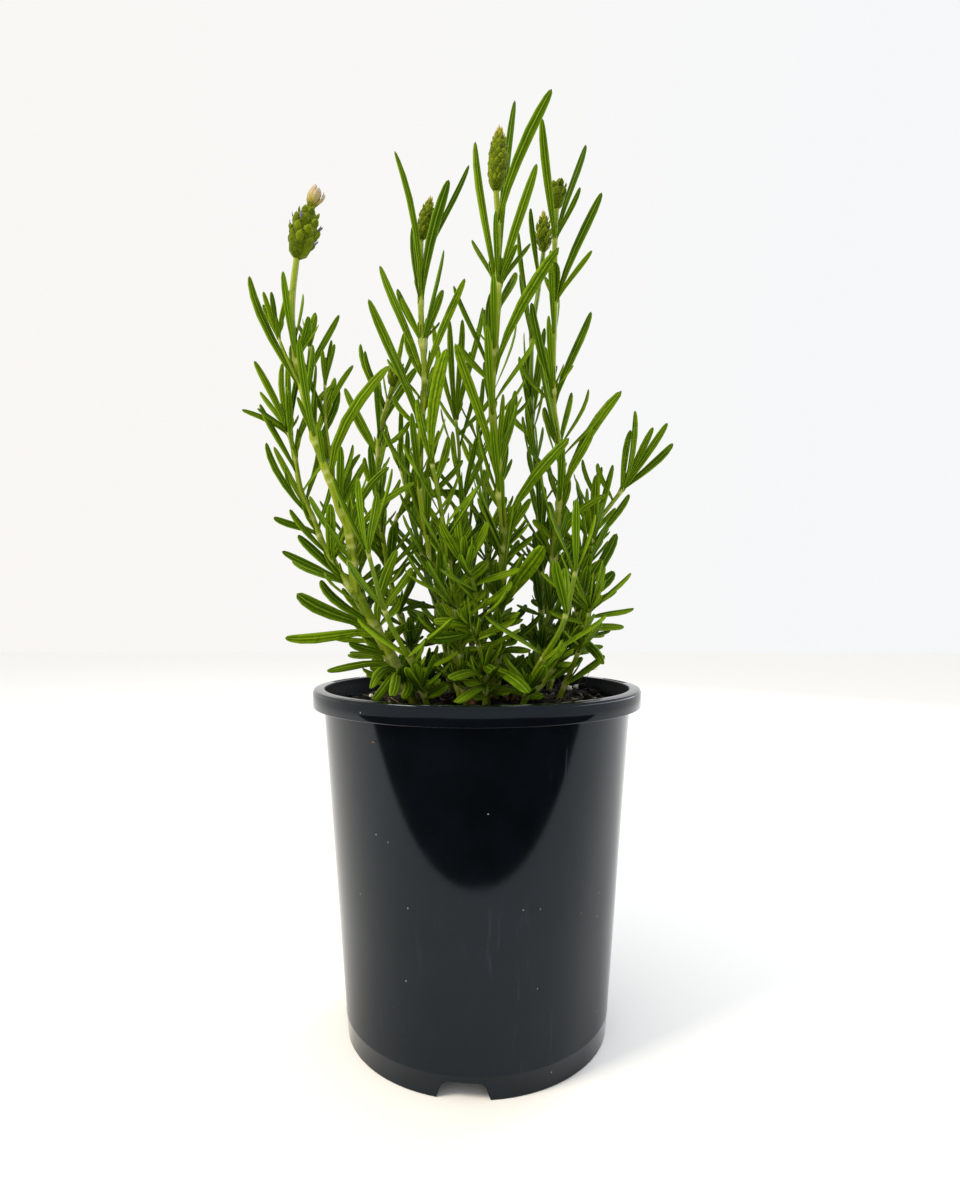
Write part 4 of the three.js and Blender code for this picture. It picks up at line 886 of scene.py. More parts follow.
def line_gaps(start, end, others_start, others_end):
    """The least distances between each straight piece and each other one."""
    a, u = start[:, None], (end - start)[:, None]
    c, v = others_start[None], (others_end - others_start)[None]
    w = a - c
    uu, uv, vv, uw, vw = dot(u, u), dot(u, v), dot(v, v), dot(u, w), dot(v, w)
    wide = uu * vv - uv * uv
    s = np.where(wide > 1e-9, np.clip((uv * vw - vv * uw) / np.maximum(wide, 1e-9), 0, 1), 0)
    t = np.clip((uv * s + vw) / vv, 0, 1)
    s = np.clip((uv * t - uw) / uu, 0, 1)
    return np.linalg.norm(w + u * s[..., None] - v * t[..., None], axis=-1)


class Crowd:
    """The lines that are taken, each with its radius and the piece that it belongs to."""

    def __init__(self):
        self.rows = []

    def take(self, node, points, radius):
        points = np.asarray(points, float)
        owner = NODE_NUMBERS.setdefault(node, len(NODE_NUMBERS))
        for start, end in zip(points, points[1:]):
            self.rows.append(np.concatenate([start, end, [radius, owner]]))

    def is_free(self, node, line, radius, clearance=CLEARANCE):
        rows = np.array(self.rows)
        rows = rows[rows[:, 7] != NODE_NUMBERS[node]]
        gaps = line_gaps(line[:-1], line[1:], rows[:, :3], rows[:, 3:6])
        return not np.any(gaps < radius + rows[:, 6] + clearance)


NODE_NUMBERS = {}
crowd = Crowd()
print("crowd empty:", len(crowd.rows))


# %% Settling a leaf
def handle(leaf):
    """The one handle of a leaf's curve."""
    middle = (leaf["foot"] + leaf["tip"]) / 2
    chord = leaf["tip"] - leaf["foot"]
    if leaf["placed"]:
        length = math.hypot(chord[0], chord[2])
        side = np.array([-chord[2], 0, chord[0]]) / length
        return middle + side * leaf["bow"] * HANDLE_REACH
    outward = unit([chord[0], chord[1], 0])
    return middle + outward * leaf["bow"] - np.array([0, 0, leaf["bow"] * SAG])


def leaf_line(leaf):
    t = LINE_STEPS[:, None]
    return ((1 - t)**2 * leaf["foot"] + 2 * (1 - t) * t * handle(leaf) + t**2 * leaf["tip"])


def in_reach(points):
    out = np.hypot(points[:, 0], points[:, 1])
    peat_height = soil_height(points[:, 0], points[:, 1]) + GROUND_ROOM
    lowest = np.where(out < RIM - RIM_ROOM, peat_height, TOP + GROUND_ROOM)
    return (np.all(points[:, 2] >= lowest)
            and np.all(np.abs(points[:, :2]) <= REACH[:2]) and np.all(points[:, 2] <= REACH[2]))


def settle(node, leaf, swings=SWINGS, clearance=CLEARANCE):
    for swing in swings:
        trial = dict(leaf, tip=leaf["tip"].copy())
        if leaf["placed"]:
            sight = leaf["tip"] - CAMERA_PLACE
            trial["tip"] = leaf["tip"] + sight * (swing * SWING_SHIFT / sight[1])
        else:
            turn = math.radians(swing * SWING_TURN)
            x, y, z = leaf["tip"] - leaf["foot"]
            trial["tip"] = leaf["foot"] + (x * math.cos(turn) - y * math.sin(turn),
                                           x * math.sin(turn) + y * math.cos(turn), z)
        line = leaf_line(trial)
        if in_reach(line[1:]) and crowd.is_free(node, line, leaf["width"] / 2, clearance):
            crowd.take(node, line, leaf["width"] / 2)
            return trial
    return None


print("settling ready")

# %% [markdown]
# ## Spikes and stubs take their room first
# The flower spikes, the tuft on the open one and the two pruned stubs stand where the frame has
# them. Their places are written down before the leaves settle, so that no leaf runs through them.
# A spike is its foot, tip and radius; a stub is its foot, how far it leans to the right and back,
# how high it stands over the peat, and its half-width.

# %% Places of the spikes and stubs
SPIKES = {
    "spike_open": ((-86, -30, 375.4), (-79, -30, 401), 6.4),
    "spike_left": ((-46, 20, 329.4), (-43, 20, 343.5), 4.3),
    "spike_middle": ((-29, -2, 398.4), (-24, -2, 420), 3.8),
    "spike_tall": ((10, 4, 427.4), (12, 4, 461), 5.2),
    "spike_right": ((44, 24, 429.4), (45.5, 24, 446.5), 4),
    "spike_back": ((39, 50, 418.4), (39, 50, 441), 4),
    "bud_right": ((90, 44, 288.4), (92.5, 45, 295), 1.7),
}
TUFT_TIP = (-76, -30, 412)
STUBS = {
    "stub_front": ((-1, -10), (1, -2), 8, 3),
    "stub_right": ((17, -2), (2, -1), 10, 3),
}
STUB_ROOT = 8           # how deep a stub starts in the peat
STEM_ROOM = 0.2
SPIKE_ROOM = 1.2
TUFT_RADIUS = 4

for node, root, _, route in ROUTES.values():
    crowd.take(node, route, root + STEM_ROOM)
for name, (foot, tip, radius) in SPIKES.items():
    crowd.take(name, [foot, tip], radius + SPIKE_ROOM)
crowd.take("tuft", [SPIKES["spike_open"][1], TUFT_TIP], TUFT_RADIUS)
stub_lines = {}
for name, ((x, y), (lean_x, lean_y), rise, root) in STUBS.items():
    stub_lines[name] = [(x, y, SOIL_TOP - STUB_ROOT),
                        (x + lean_x / 2, y + lean_y / 2, SOIL_TOP + 2),
                        (x + lean_x, y + lean_y, SOIL_TOP + rise)]
    crowd.take(name, stub_lines[name], root)
print("lines taken:", len(crowd.rows))

# %% Settle the leaves that the frame has
leaves = {key: [] for key in ROUTES}
for key, rows in PLACED.items():
    for height, x, y, z, width, bow in rows:
        leaf = {"foot": point_at(ROUTES[key][3], height), "tip": np.array([x, y, z], float),
                "bow": bow, "width": width, "placed": True}
        leaf = settle(ROUTES[key][0], leaf)
        if leaf:
            leaves[key].append(leaf)
placed_count = sum(map(len, leaves.values()))
for number, key in enumerate(ROUTES):
    for leaf in grow(key, number):
        leaf = settle(ROUTES[key][0], leaf)
        if leaf:
            leaves[key].append(leaf)
print(placed_count, "placed and", sum(map(len, leaves.values())) - placed_count, "grown leaves")

# %% [markdown]
# ## Small leaves in the axils
# At each joint of a lavender, young shoots start in the angle between leaf and stem: a few small
# leaves, almost upright. They are too fine and too many for the frame, so they are added here.
# Low down they are broader and spread out, and some droop to the rim: that makes the thick green
# cushion over the peat. They keep the same rule as the big leaves, with less room between them.

# %% Axil leaves
AXIL_SEED = 7
CROWDED = -1.6          # small leaves may touch and overlap a little
AXIL_SWINGS = [0, 12, -12, 30, -30]
# each from the peat upwards: how far they fan out, and their length, lean and width
AXIL_FANS, AXIL_LENGTHS, AXIL_LEANS, AXIL_WIDTHS = (110, 60), (17, 11), (46, 20), (3.6, 1.8)
OPEN_FRONT = ("p", "q")  # thin front stems that let the ones behind them show
OPEN_FROM = 186         # small leaves stand on those below this height only
SEEN_WIDTH = 3.2        # kept clear to each side of the left stem, which shows from the front
# the left stem's branches between their heights, where it shows
LEFT_STEM = [("a0", 168, 216), ("a1", 218, 300)]
LEFT_STEM_STEP = 3
SEEN_PEAT = (0.09, 0.2, -0.15, -0.088)     # kept clear in the picture: the peat at the right

draw = seeded(AXIL_SEED)


def picture(points):
    """Where points stand in the picture, per millimetre of depth, and their depths."""
    away = np.asarray(points) - CAMERA_PLACE
    return away[:, [0, 2]] / away[:, 1:2], away[:, 1]


left_stem, left_depth = picture([point_at(ROUTES[key][3], height)
                                 for key, low, high in LEFT_STEM
                                 for height in range(low, high, LEFT_STEM_STEP)])


def hides_left_stem(leaf):
    seen, depth = picture(leaf_line(leaf)[1:])
    apart = np.linalg.norm(seen[:, None] - left_stem[None], axis=-1) * left_depth
    return np.any((apart < SEEN_WIDTH) & (depth[:, None] < left_depth[None]))


def hides_peat(leaf):
    x, z = picture(leaf_line(leaf)[1:])[0].T
    left, right, low, high = SEEN_PEAT
    return np.any((x > left) & (x < right) & (z > low) & (z < high))


def leaf_azimuth(leaf):
    away = leaf["tip"] - leaf["foot"]
    return math.atan2(away[1], away[0])


def add_small(key, height, azimuth, lean, length, width):
    leaf = grown(ROUTES[key][3], height, azimuth, lean, length, width)
    leaf["bow"] = length * (0.02 + 0.2 * draw())
    leaf = settle(ROUTES[key][0], leaf, AXIL_SWINGS, CROWDED)
    is_open = key in OPEN_FRONT and height > OPEN_FROM
    if leaf and not (is_open or hides_left_stem(leaf) or hides_peat(leaf)):
        leaves[key].append(dict(leaf, small=True))


for key in ROUTES:
    for leaf in list(leaves[key]):
        low = min(max((leaf["foot"][2] - SOIL_TOP) / LEAFY_FOOT, 0), 1)
        for _ in range(1 + (draw() < 0.6) + (low < 0.6) + (low < 0.3)):
            azimuth = leaf_azimuth(leaf) + math.radians(lerp(*AXIL_FANS, low) * (draw() - 0.5))
            length = lerp(*AXIL_LENGTHS, low) * (0.6 + 0.8 * draw())
            lean = lerp(*AXIL_LEANS, low) * (0.5 + 0.9 * draw())
            width = lerp(*AXIL_WIDTHS, low) * (0.75 + 0.5 * draw())
            add_small(key, leaf["foot"][2] + 1 + 1.5 * draw(), azimuth, lean, length, width)
print("with axil leaves:", sum(map(len, leaves.values())))

# %% The cushion over the peat
CUSHION_TOP = 250
CUSHION_STEP = 3.8
CUSHION_LEANS, CUSHION_LENGTHS, CUSHION_WIDTHS = (80, 40), (20, 29), (5.2, 4.2)

for key, (_, _, _, route) in ROUTES.items():
    if route[0][2] > SOIL_TOP:
        continue
    height = SOIL_TOP + 6
    while height < min(CUSHION_TOP, route[-1][2]):
        low = (height - SOIL_TOP) / (CUSHION_TOP - SOIL_TOP)
        azimuth = 2 * math.pi * draw()
        lean = lerp(*CUSHION_LEANS, low) * (0.7 + 0.6 * draw())
        length = lerp(*CUSHION_LENGTHS, low) * (0.6 + 0.8 * draw())
        width = lerp(*CUSHION_WIDTHS, low) * (0.55 + 0.8 * draw())
        add_small(key, height, azimuth, lean, length, width)
        height += CUSHION_STEP * (0.7 + 0.6 * draw())
print("with the cushion:", sum(map(len, leaves.values())))

# %% The thicket above it
THICKET = (222, 335)
THICKET_STEP = 7.5

for key, (_, root, _, route) in ROUTES.items():
    height = max(THICKET[0], route[0][2] + 4) + 6 * draw()
    while height < min(THICKET[1], route[-1][2] - 6) and root > THIN_SHOOT:
        azimuth = 2 * math.pi * draw()
        lean = 14 + 30 * draw()
        add_small(key, height, azimuth, lean, 20 + 20 * draw(), 2.8 + 1.6 * draw())
        height += THICKET_STEP * (0.6 + 0.8 * draw())
print("with the thicket:", sum(map(len, leaves.values())))

# %% [markdown]
# ## Leaf green
# The leaf's skin is downy and matt, with a soft shine where the light glances. A paler vein runs
# up the middle between two furrows that are darkened with painted shade, the rolled margins are
# paler too, and broad low leaves show a net of side veins. All that follows the blade, so it reads
# the blade's own UV: across from 0 to 1, and along from foot to tip. The marks carry what differs
# from leaf to leaf: red is a random tone, lowered by painted shade on leaves high up and on low
# leaves away from the front; green is youth, blue is one on the underside, and alpha is one on
# broad leaves.

# %% Leaf material: where the parts of the blade are
VEIN_NET = 0.09         # of the blade's length, between side veins: about 2.5 mm on a 28 mm leaf
HAIR = 0.5 * MM         # down is finer still, so it is drawn this coarse

leaf_skin, tree, finish = new_material(
    "downy_lavender_leaf", Specular_IOR_Level=0.04, Sheen_Weight=0.005, Sheen_Roughness=0.5,
    Subsurface_Weight=0.06, Subsurface_Radius=(0.4, 1.0, 0.15), Subsurface_Scale=1.0 * MM)
blade_uv = add(tree, "SeparateXYZ", {0: add(tree, "UVMap", uv_map="blade")})
marks = add(tree, "Attribute", attribute_name="marks")
tone, youth, under = add(tree, "SeparateColor", {0: marks.outputs["Color"]}).outputs
broad = marks.outputs["Alpha"]
side = add(tree, "Math", {0: blade_uv, 1: 2.0, 2: -1.0}, operation="MULTIPLY_ADD")
side = add(tree, "Math", {0: side}, operation="ABSOLUTE")
smooth = {"interpolation_type": "SMOOTHSTEP"}
vein = add(tree, "MapRange", {"Value": side, "From Min": 0.15, "From Max": 0.05}, **smooth)
# The furrows beside the vein: sunk in the bump, and darkened below with painted shade.
groove_in = add(tree, "MapRange", {"Value": side, "From Min": 0.08, "From Max": 0.24}, **smooth)
groove_out = add(tree, "MapRange", {"Value": side, "From Min": 0.62, "From Max": 0.3}, **smooth)
shaded_groove = add(tree, "Math", {0: groove_in, 1: groove_out}, operation="MULTIPLY")
margin = add(tree, "MapRange", {"Value": side, "From Min": 0.74, "From Max": 0.96}, **smooth)
net_place = add(tree, "CombineXYZ", {"X": blade_uv.outputs["X"], "Y": blade_uv.outputs["Y"],
                                     "Z": tone})
net_place = add(tree, "Mapping", {"Vector": net_place, "Scale": (2.2, 1 / VEIN_NET, 9.0)})
net = add(tree, "TexVoronoi", {"Vector": net_place, "Scale": 1.0},
          feature="DISTANCE_TO_EDGE")
net = add(tree, "MapRange", {"Value": net, "From Min": 0.14, "From Max": 0.0}, **smooth)
net = add(tree, "Math", {0: net, 1: broad}, operation="MULTIPLY")

# %% Leaf material: colour
place = add(tree, "TexCoord").outputs["Object"]
blotch = add(tree, "TexNoise", {"Vector": place, "Scale": 140.0, "Detail": 3.0})
mood = add(tree, "Math", {0: blotch, 1: 0.5, 2: tone}, operation="MULTIPLY_ADD")
# The last two stops of a ramp stand close together here and below: past them the tone falls back.
flesh = add(tree, "ValToRGB", {"Fac": mood}, stops=[
    (0.1, "#1c3200"), (0.5, "#3c5a00"), (0.997, "#6e8c04"), (1.0, "#547400")])
# Coats over the leaf colour; the dark coat on the furrows is painted shade.
for mask, strength, colour in [(youth, 0.6, "#86a010"), (under, 0.5, "#4e7608"),
                               (shaded_groove, 0.6, "#163200"), (margin, 0.6, "#7e9620"),
                               (vein, 0.5, "#8ca428"), (net, 0.4, "#2a5208")]:
    coat = add(tree, "Math", {0: mask, 1: strength}, operation="MULTIPLY")
    flesh = add(tree, "Mix", {0: coat, 6: flesh, 7: linear(colour)}, data_type="RGBA").outputs[2]

# %% Leaf material: relief and shine
down = add(tree, "TexNoise", {"Vector": place, "Scale": 0.5 / HAIR, "Detail": 2.0})
relief = margin
for mask, rise in [(vein, 1.0), (shaded_groove, -0.8), (net, -0.5), (down, 0.25)]:
    relief = add(tree, "Math", {0: mask, 1: rise, 2: relief}, operation="MULTIPLY_ADD")
bump = add(tree, "Bump", {"Height": relief, "Strength": 0.6, "Distance": 0.25 * MM})
shine = add(tree, "Math", {0: down, 1: 0.12, 2: 0.52}, operation="MULTIPLY_ADD")
wire(tree, finish, Base_Color=flesh, Roughness=shine, Normal=bump)
print("leaf finish:", leaf_skin.name)

# %% [markdown]
# ## Stem green
# The stem is brighter and yellower than the leaves, smooth and a little waxy, with a pale ring at
# each joint; painted shade darkens its hollow sides, so that the corners look lighter. Its foot
# has
# turned to brown bark. Its marks are: red a random tone, darkened as painted shade on the thin
# front stems, green bark, blue the rings and alpha one on the corners.

# %% Stem material
FIBRE = 0.35 * MM       # the lines that run up a stem

stem_skin, tree, finish = new_material(
    "waxy_square_stem", Specular_IOR_Level=0.2, Subsurface_Weight=0.12,
    Subsurface_Radius=(0.5, 1.0, 0.2), Subsurface_Scale=1.5 * MM)
marks = add(tree, "Attribute", attribute_name="marks")
tone, bark, ring = add(tree, "SeparateColor", {0: marks.outputs["Color"]}).outputs
corner_share = marks.outputs["Alpha"]
place = add(tree, "TexCoord").outputs["Object"]
stretched = add(tree, "Mapping", {"Vector": place, "Scale": (1, 1, 0.06)})
fibres = add(tree, "TexNoise", {"Vector": stretched, "Scale": 0.5 / FIBRE, "Detail": 2.0})
blotch = add(tree, "TexNoise", {"Vector": place, "Scale": 60.0, "Detail": 2.0})
mood = add(tree, "Math", {0: blotch, 1: 0.5, 2: tone}, operation="MULTIPLY_ADD")
skin = add(tree, "ValToRGB", {"Fac": mood}, stops=[
    (0.2, "#506c00"), (0.997, "#869414"), (1.0, "#687c04")])
# Painted shade on the hollow sides between the corners.
hollow_side_shade = add(tree, "MapRange", {"Value": corner_share, "To Min": 0.5, "To Max": 0.0})
lines = add(tree, "MapRange", {"Value": fibres, "From Min": 0.45, "From Max": 0.75,
                               "To Max": 0.2})
for mask, strength, colour in [(hollow_side_shade, 1.0, "#507200"), (lines, 1.0, "#a6b030"),
                               (ring, 0.75, "#b9bd6c")]:
    coat = add(tree, "Math", {0: mask, 1: strength}, operation="MULTIPLY")
    skin = add(tree, "Mix", {0: coat, 6: skin, 7: linear(colour)}, data_type="RGBA").outputs[2]
flakes = add(tree, "ValToRGB", {"Fac": fibres}, stops=[
    (0.3, "#2c1d0e"), (0.75, "#7c5c34"), (0.751, "#503819")])
skin = add(tree, "Mix", {0: bark, 6: skin, 7: flakes}, data_type="RGBA")
shine = add(tree, "Math", {0: bark, 1: 0.4, 2: 0.4}, operation="MULTIPLY_ADD")
relief = add(tree, "Math", {0: bark, 1: 2.0, 2: 0.5}, operation="MULTIPLY_ADD")
relief = add(tree, "Math", {0: fibres, 1: relief}, operation="MULTIPLY")
bump = add(tree, "Bump", {"Height": relief, "Strength": 0.5, "Distance": 0.3 * MM})
wire(tree, finish, Base_Color=skin.outputs[2], Roughness=shine, Normal=bump)
print("stem finish:", stem_skin.name)

# %% [markdown]
# ## Stems
# A stem is a square rod with rounded corners and hollow sides. A cylinder of twelve sides is cut
# into short lengths with subdivide, so that it can bend, and each copy is bent along its route.
# It swells at each joint, where a pair of leaves clasps it.

# %% A straight rod
ROD_ANGLES = np.radians([-13, 13, 45, 77, 103, 135, 167, 193, 225, 257, 283, 315])
ROD_REACH = np.array([1, 1, 0.76] * 4)
LENGTH_STEP = 1.6       # millimetres between the rings of a rod


def rod(cuts):
    """A closed rod of radius 1 and length 1 along Y, with rings that let it bend."""
    deselect()
    bpy.ops.mesh.primitive_cylinder_add(vertices=12, radius=1, depth=1, location=(0, 0, 0.5))
    piece = bpy.context.object
    bpy.ops.object.transform_apply(location=True)
    select_where(piece, lambda co: True, "EDGE")
    bpy.ops.object.mode_set(mode="OBJECT")
    for edge in piece.data.edges:
        ends = [piece.data.vertices[i].co.z for i in edge.vertices]
        edge.select = abs(ends[0] - ends[1]) > 0.5
    for face in piece.data.polygons:
        face.select = False
    bpy.ops.object.mode_set(mode="EDIT")
    bpy.ops.mesh.subdivide(number_cuts=cuts)
    bpy.ops.object.mode_set(mode="OBJECT")
    shape = Shape(piece, [(0, 1), (1, 1)])
    x, y, z = shape.points.T
    shape.side = np.round(np.arctan2(y, x) / (math.pi / 6)).astype(int) % 12
    shape.points = np.stack([x, z, y], 1)
    shape.faces = [face[::-1] for face in shape.faces]
    return shape


def smooth_route(route):
    """A curve through all of a route's points, in short steps."""
    p = np.asarray(route, float)
    p = np.vstack([2 * p[0] - p[1], p, 2 * p[-1] - p[-2]])
    t = np.linspace(0, 1, 12, endpoint=False)[:, None]
    spans = [0.5 * (2 * b + (c - a) * t + (2 * a - 5 * b + 4 * c - d) * t**2
                    + (3 * b - a - 3 * c + d) * t**3)
             for a, b, c, d in zip(p, p[1:], p[2:], p[3:])]
    return np.vstack(spans + [p[-2][None]])


def along_route(path, share):
    """Points and directions at shares of a path's length."""
    steps = np.linalg.norm(np.diff(path, axis=0), axis=1)
    run = np.concatenate([[0], np.cumsum(steps)])
    at = share * run[-1]
    point = np.stack([np.interp(at, run, path[:, i]) for i in range(3)], 1)
    ahead = np.stack([np.interp(at + 1, run, path[:, i]) for i in range(3)], 1)
    behind = np.stack([np.interp(at - 1, run, path[:, i]) for i in range(3)], 1)
    return point, unit(ahead - behind)


def rod_points(shape, path, half, turn):
    """The rod on a path: half-widths per point, its corners turned about it."""
    centre, direction = along_route(path, shape.points[:, 1])
    edge, face = frames(direction, np.array([math.cos(turn), math.sin(turn), 0.0]))
    angle = ROD_ANGLES[shape.side]
    reach = (ROD_REACH[shape.side] * half)[:, None]
    return centre + (edge * np.cos(angle)[:, None] + face * np.sin(angle)[:, None]) * reach


rod_shapes = {}


def rod_for(length):
    cuts = max(int(length / LENGTH_STEP), 4)
    if cuts not in rod_shapes:
        rod_shapes[cuts] = rod(cuts)
    return rod_shapes[cuts]


print("rod of 10 mm:", len(rod_for(10).faces), "faces")

# %% Bending the stems
JOINT_SWELL = 0.3
BARK_TOP = 164
OPEN_STEM_SHADE = 0.2         # painted shade: the thin front stems are darkened, so that they don't stand out
stem_turns = seeded(3)


def stem_part(key):
    _, root, top_half, route = ROUTES[key]
    path = smooth_route(route)
    length = np.linalg.norm(np.diff(path, axis=0), axis=1).sum()
    shape = rod_for(length)
    share = shape.points[:, 1]
    height = along_route(path, share)[0][:, 2]
    half = lerp(root, top_half, share)
    ring = np.zeros(len(share))
    for joint in {round(leaf["foot"][2], 1) for leaf in leaves[key] if "small" not in leaf}:
        above = height - joint
        ring = np.maximum(ring, np.exp(-((above + 0.6) / 0.9)**2))
        half = half * (1 + JOINT_SWELL * np.exp(-((above - 1) / 2.2)**2)
                       * (0.6 if root > 1 else 0.3))
    wood = np.clip((BARK_TOP - height) / 5, 0, 0.8) if route[0][2] < SOIL_TOP else 0 * height
    corner = np.where(ROD_REACH[shape.side] == 1, 1.0, 0.0)
    turn = stem_turns() * math.pi / 2
    # Painted shade: the thin front stems get a lower tone.
    tone = stem_turns() * (OPEN_STEM_SHADE if key in OPEN_FRONT else 1)
    marks = np.stack([np.full(len(share), tone), wood, ring, corner], 1)
    return shape, rod_points(shape, path, half, turn), marks, 1


print("stem c:", len(stem_part("c")[1]), "points")

# %% [markdown]
# ## Leafy stems
# Now each leafy stem is put together: its rods, and every leaf bent along its own line. A leaf's
# foot clasps the stem and runs up along it for a few millimetres before it leaves, so its curve
# starts in the stem's own direction. Low leaves take the broad template, small ones the short one.

# %% Bending a leaf
CLASP = 0.24            # of a leaf's length, along the stem
BROAD_WIDTH = 5.6
SHORT_LENGTH = 17
HIGH_SHADE = 0.28       # painted shade: the leaves high up are darkened, and so are the low ones deep inside
DEEP_SHADE = 0.2
# degrees: how far small and big leaves roll to show a face, and by how much roll and twist vary
SMALL_ROLL, BIG_ROLL, ROLL_SPREAD, TWIST_SPREAD = 45, 18, 40, 50
stem_paths = {key: smooth_route(route) for key, (_, _, _, route) in ROUTES.items()}
leaf_draw = seeded(11)


def leaf_part(key, leaf):
    path = stem_paths[key]
    foot = np.array([np.interp(leaf["foot"][2], path[:, 2], path[:, i]) for i in range(3)])
    ahead = np.array([np.interp(leaf["foot"][2] + 3, path[:, 2], path[:, i]) for i in range(3)])
    stem_direction = unit(ahead - foot + (0, 0, 1e-3))
    bend, tip = handle(leaf), leaf["tip"]
    length = np.linalg.norm(tip - foot)
    low = min(max((foot[2] - SOIL_TOP) / LEAFY_FOOT, 0), 1)
    first = lerp(foot + (bend - foot) * 2 / 3, foot + stem_direction * length * CLASP, 0.5)
    second = tip + (bend - tip) * 2 / 3
    chord = tip - foot
    outward = unit([chord[0], chord[1], 0.0])
    hint = np.array([0, 0, 1.0]) - 0.35 * outward
    width = leaf["width"] * (1.0 if leaf["placed"] else 0.86 + 0.2 * leaf_draw())
    small = length < SHORT_LENGTH
    shape = short_leaf if small else broad_leaf if width > BROAD_WIDTH else long_leaf
    root = ROUTES[key][1]
    curl = 0.55 if root > 1 else 0.2
    face_on = SMALL_ROLL if "small" in leaf else BIG_ROLL
    roll = math.radians(face_on + ROLL_SPREAD * (leaf_draw() - 0.5))
    if leaf["placed"]:
        hint = 0.4 * hint + 1.2 * unit(np.array(CAMERA_PLACE) - foot)
        roll -= math.radians(face_on)
    twist = math.radians(TWIST_SPREAD * (leaf_draw() - 0.5))
    start = foot + outward * root * 0.45
    points = bent(shape, (start, first, second, tip), width / 2, hint, roll, twist, curl)
    youth = 0.75 * (small and low > 0.3) * leaf_draw() + 0.25 * leaf_draw()
    tone = 0.2 + 0.6 * leaf_draw()
    # Painted shade: a lower tone high up, and on low leaves away from the front, where shade
    # falls.
    tone -= HIGH_SHADE * min(max(foot[2] - 330, 0) / 80, 1)
    tone -= DEEP_SHADE * (foot[2] < 235 and tip[1] > -8)
    marks = np.stack([np.full(len(points), max(tone, 0)), np.full(len(points), youth),
                      shape.under, np.full(len(points), float(shape is broad_leaf))], 1)
    return shape, points, marks, 0


print("leaf part:", leaf_part("e", leaves["e"][0])[1].shape)

# %% The leafy stems
stem_nodes = sorted({node for node, _, _, _ in ROUTES.values()})
total_faces = 0
for node in stem_nodes:
    keys = [key for key in ROUTES if ROUTES[key][0] == node]
    parts = [stem_part(key) for key in keys]
    parts += [leaf_part(key, leaf) for key in keys for leaf in leaves[key]]
    piece = gather(node + "_dressed", parts, [leaf_skin, stem_skin])
    dress(piece, node)
    total_faces += len(piece.data.polygons)
print(len(stem_nodes), "leafy stems,", total_faces, "faces")

# %% [markdown]
# ## Flower spikes
# A lavender spike is a short cone of overlapping bracts, each a small keeled scale that hugs the
# one above it. The buds are still closed: green, downy, with paler margins and a yellow tip. The
# open head has rounder, looser bracts with a few violet mouths between them. One bract was
# modelled with the leaves; here a plain core is made, and the bract is copied in rows round it.
# Its marks are: red a random tone, green the yellow tip and alpha the violet of a mouth.

# %% Spike material
SPIKE_DOWN = 0.6 * MM

spike_skin, tree, finish = new_material(
    "downy_green_bract", Roughness=0.7, Specular_IOR_Level=0.06, Sheen_Weight=0.02,
    Subsurface_Weight=0.15, Subsurface_Radius=(0.5, 1.0, 0.2), Subsurface_Scale=1.0 * MM)
blade_uv = add(tree, "SeparateXYZ", {0: add(tree, "UVMap", uv_map="blade")})
marks = add(tree, "Attribute", attribute_name="marks")
tone, yellow, _ = add(tree, "SeparateColor", {0: marks.outputs["Color"]}).outputs
violet = marks.outputs["Alpha"]
side = add(tree, "Math", {0: blade_uv, 1: 2.0, 2: -1.0}, operation="MULTIPLY_ADD")
side = add(tree, "Math", {0: side}, operation="ABSOLUTE")
margin = add(tree, "MapRange", {"Value": side, "From Min": 0.55, "From Max": 0.95})
point = add(tree, "MapRange", {"Value": blade_uv.outputs["Y"], "From Min": 0.55})
pale_edge = add(tree, "Math", {0: margin, 1: point}, operation="MAXIMUM")
place = add(tree, "TexCoord").outputs["Object"]
down = add(tree, "TexNoise", {"Vector": place, "Scale": 0.5 / SPIKE_DOWN, "Detail": 3.0})
mood = add(tree, "Math", {0: down, 1: 0.7, 2: tone}, operation="MULTIPLY_ADD")
skin = add(tree, "ValToRGB", {"Fac": mood}, stops=[
    (0.25, "#263a00"), (0.997, "#74820a"), (1.0, "#4a5e00")])
for mask, strength, colour in [(pale_edge, 0.42, "#86981c"), (yellow, 1.0, "#c8b43c"),
                               (violet, 1.0, "#6a5a90")]:
    coat = add(tree, "Math", {0: mask, 1: strength}, operation="MULTIPLY")
    skin = add(tree, "Mix", {0: coat, 6: skin, 7: linear(colour)}, data_type="RGBA").outputs[2]
bump = add(tree, "Bump", {"Height": down, "Strength": 0.7, "Distance": 0.35 * MM})
wire(tree, finish, Base_Color=skin, Normal=bump)
print("spike finish:", spike_skin.name)

# %% Core and copies of the bract
OVERLAP = 1.7           # of a bract's share of its row, so that neighbours overlap
SEATED = 0.86           # of the core's radius, where a bract starts
YELLOW_FROM = 0.72      # of the spike's height
BEAK_AT = 0.93          # where three narrow bracts close a bud's point
BEAK_TURNS = (0, 2.1, 4.2)
BEAK_LEAN = -6
BEAK_MARKS = (0.4, 0.7, 0, 0.35)
CORE_PROFILE = [(0, 0.34), (0.08, 0.7), (0.3, 0.95), (0.55, 0.96), (0.78, 0.68),
                (0.92, 0.32), (1, 0.05)]
CORE_CUT = [(math.cos(a), math.sin(a)) for a in np.linspace(0, 2 * math.pi, 10, endpoint=False)]
core = Shape(blade("core", CORE_CUT, CORE_PROFILE), CORE_PROFILE)
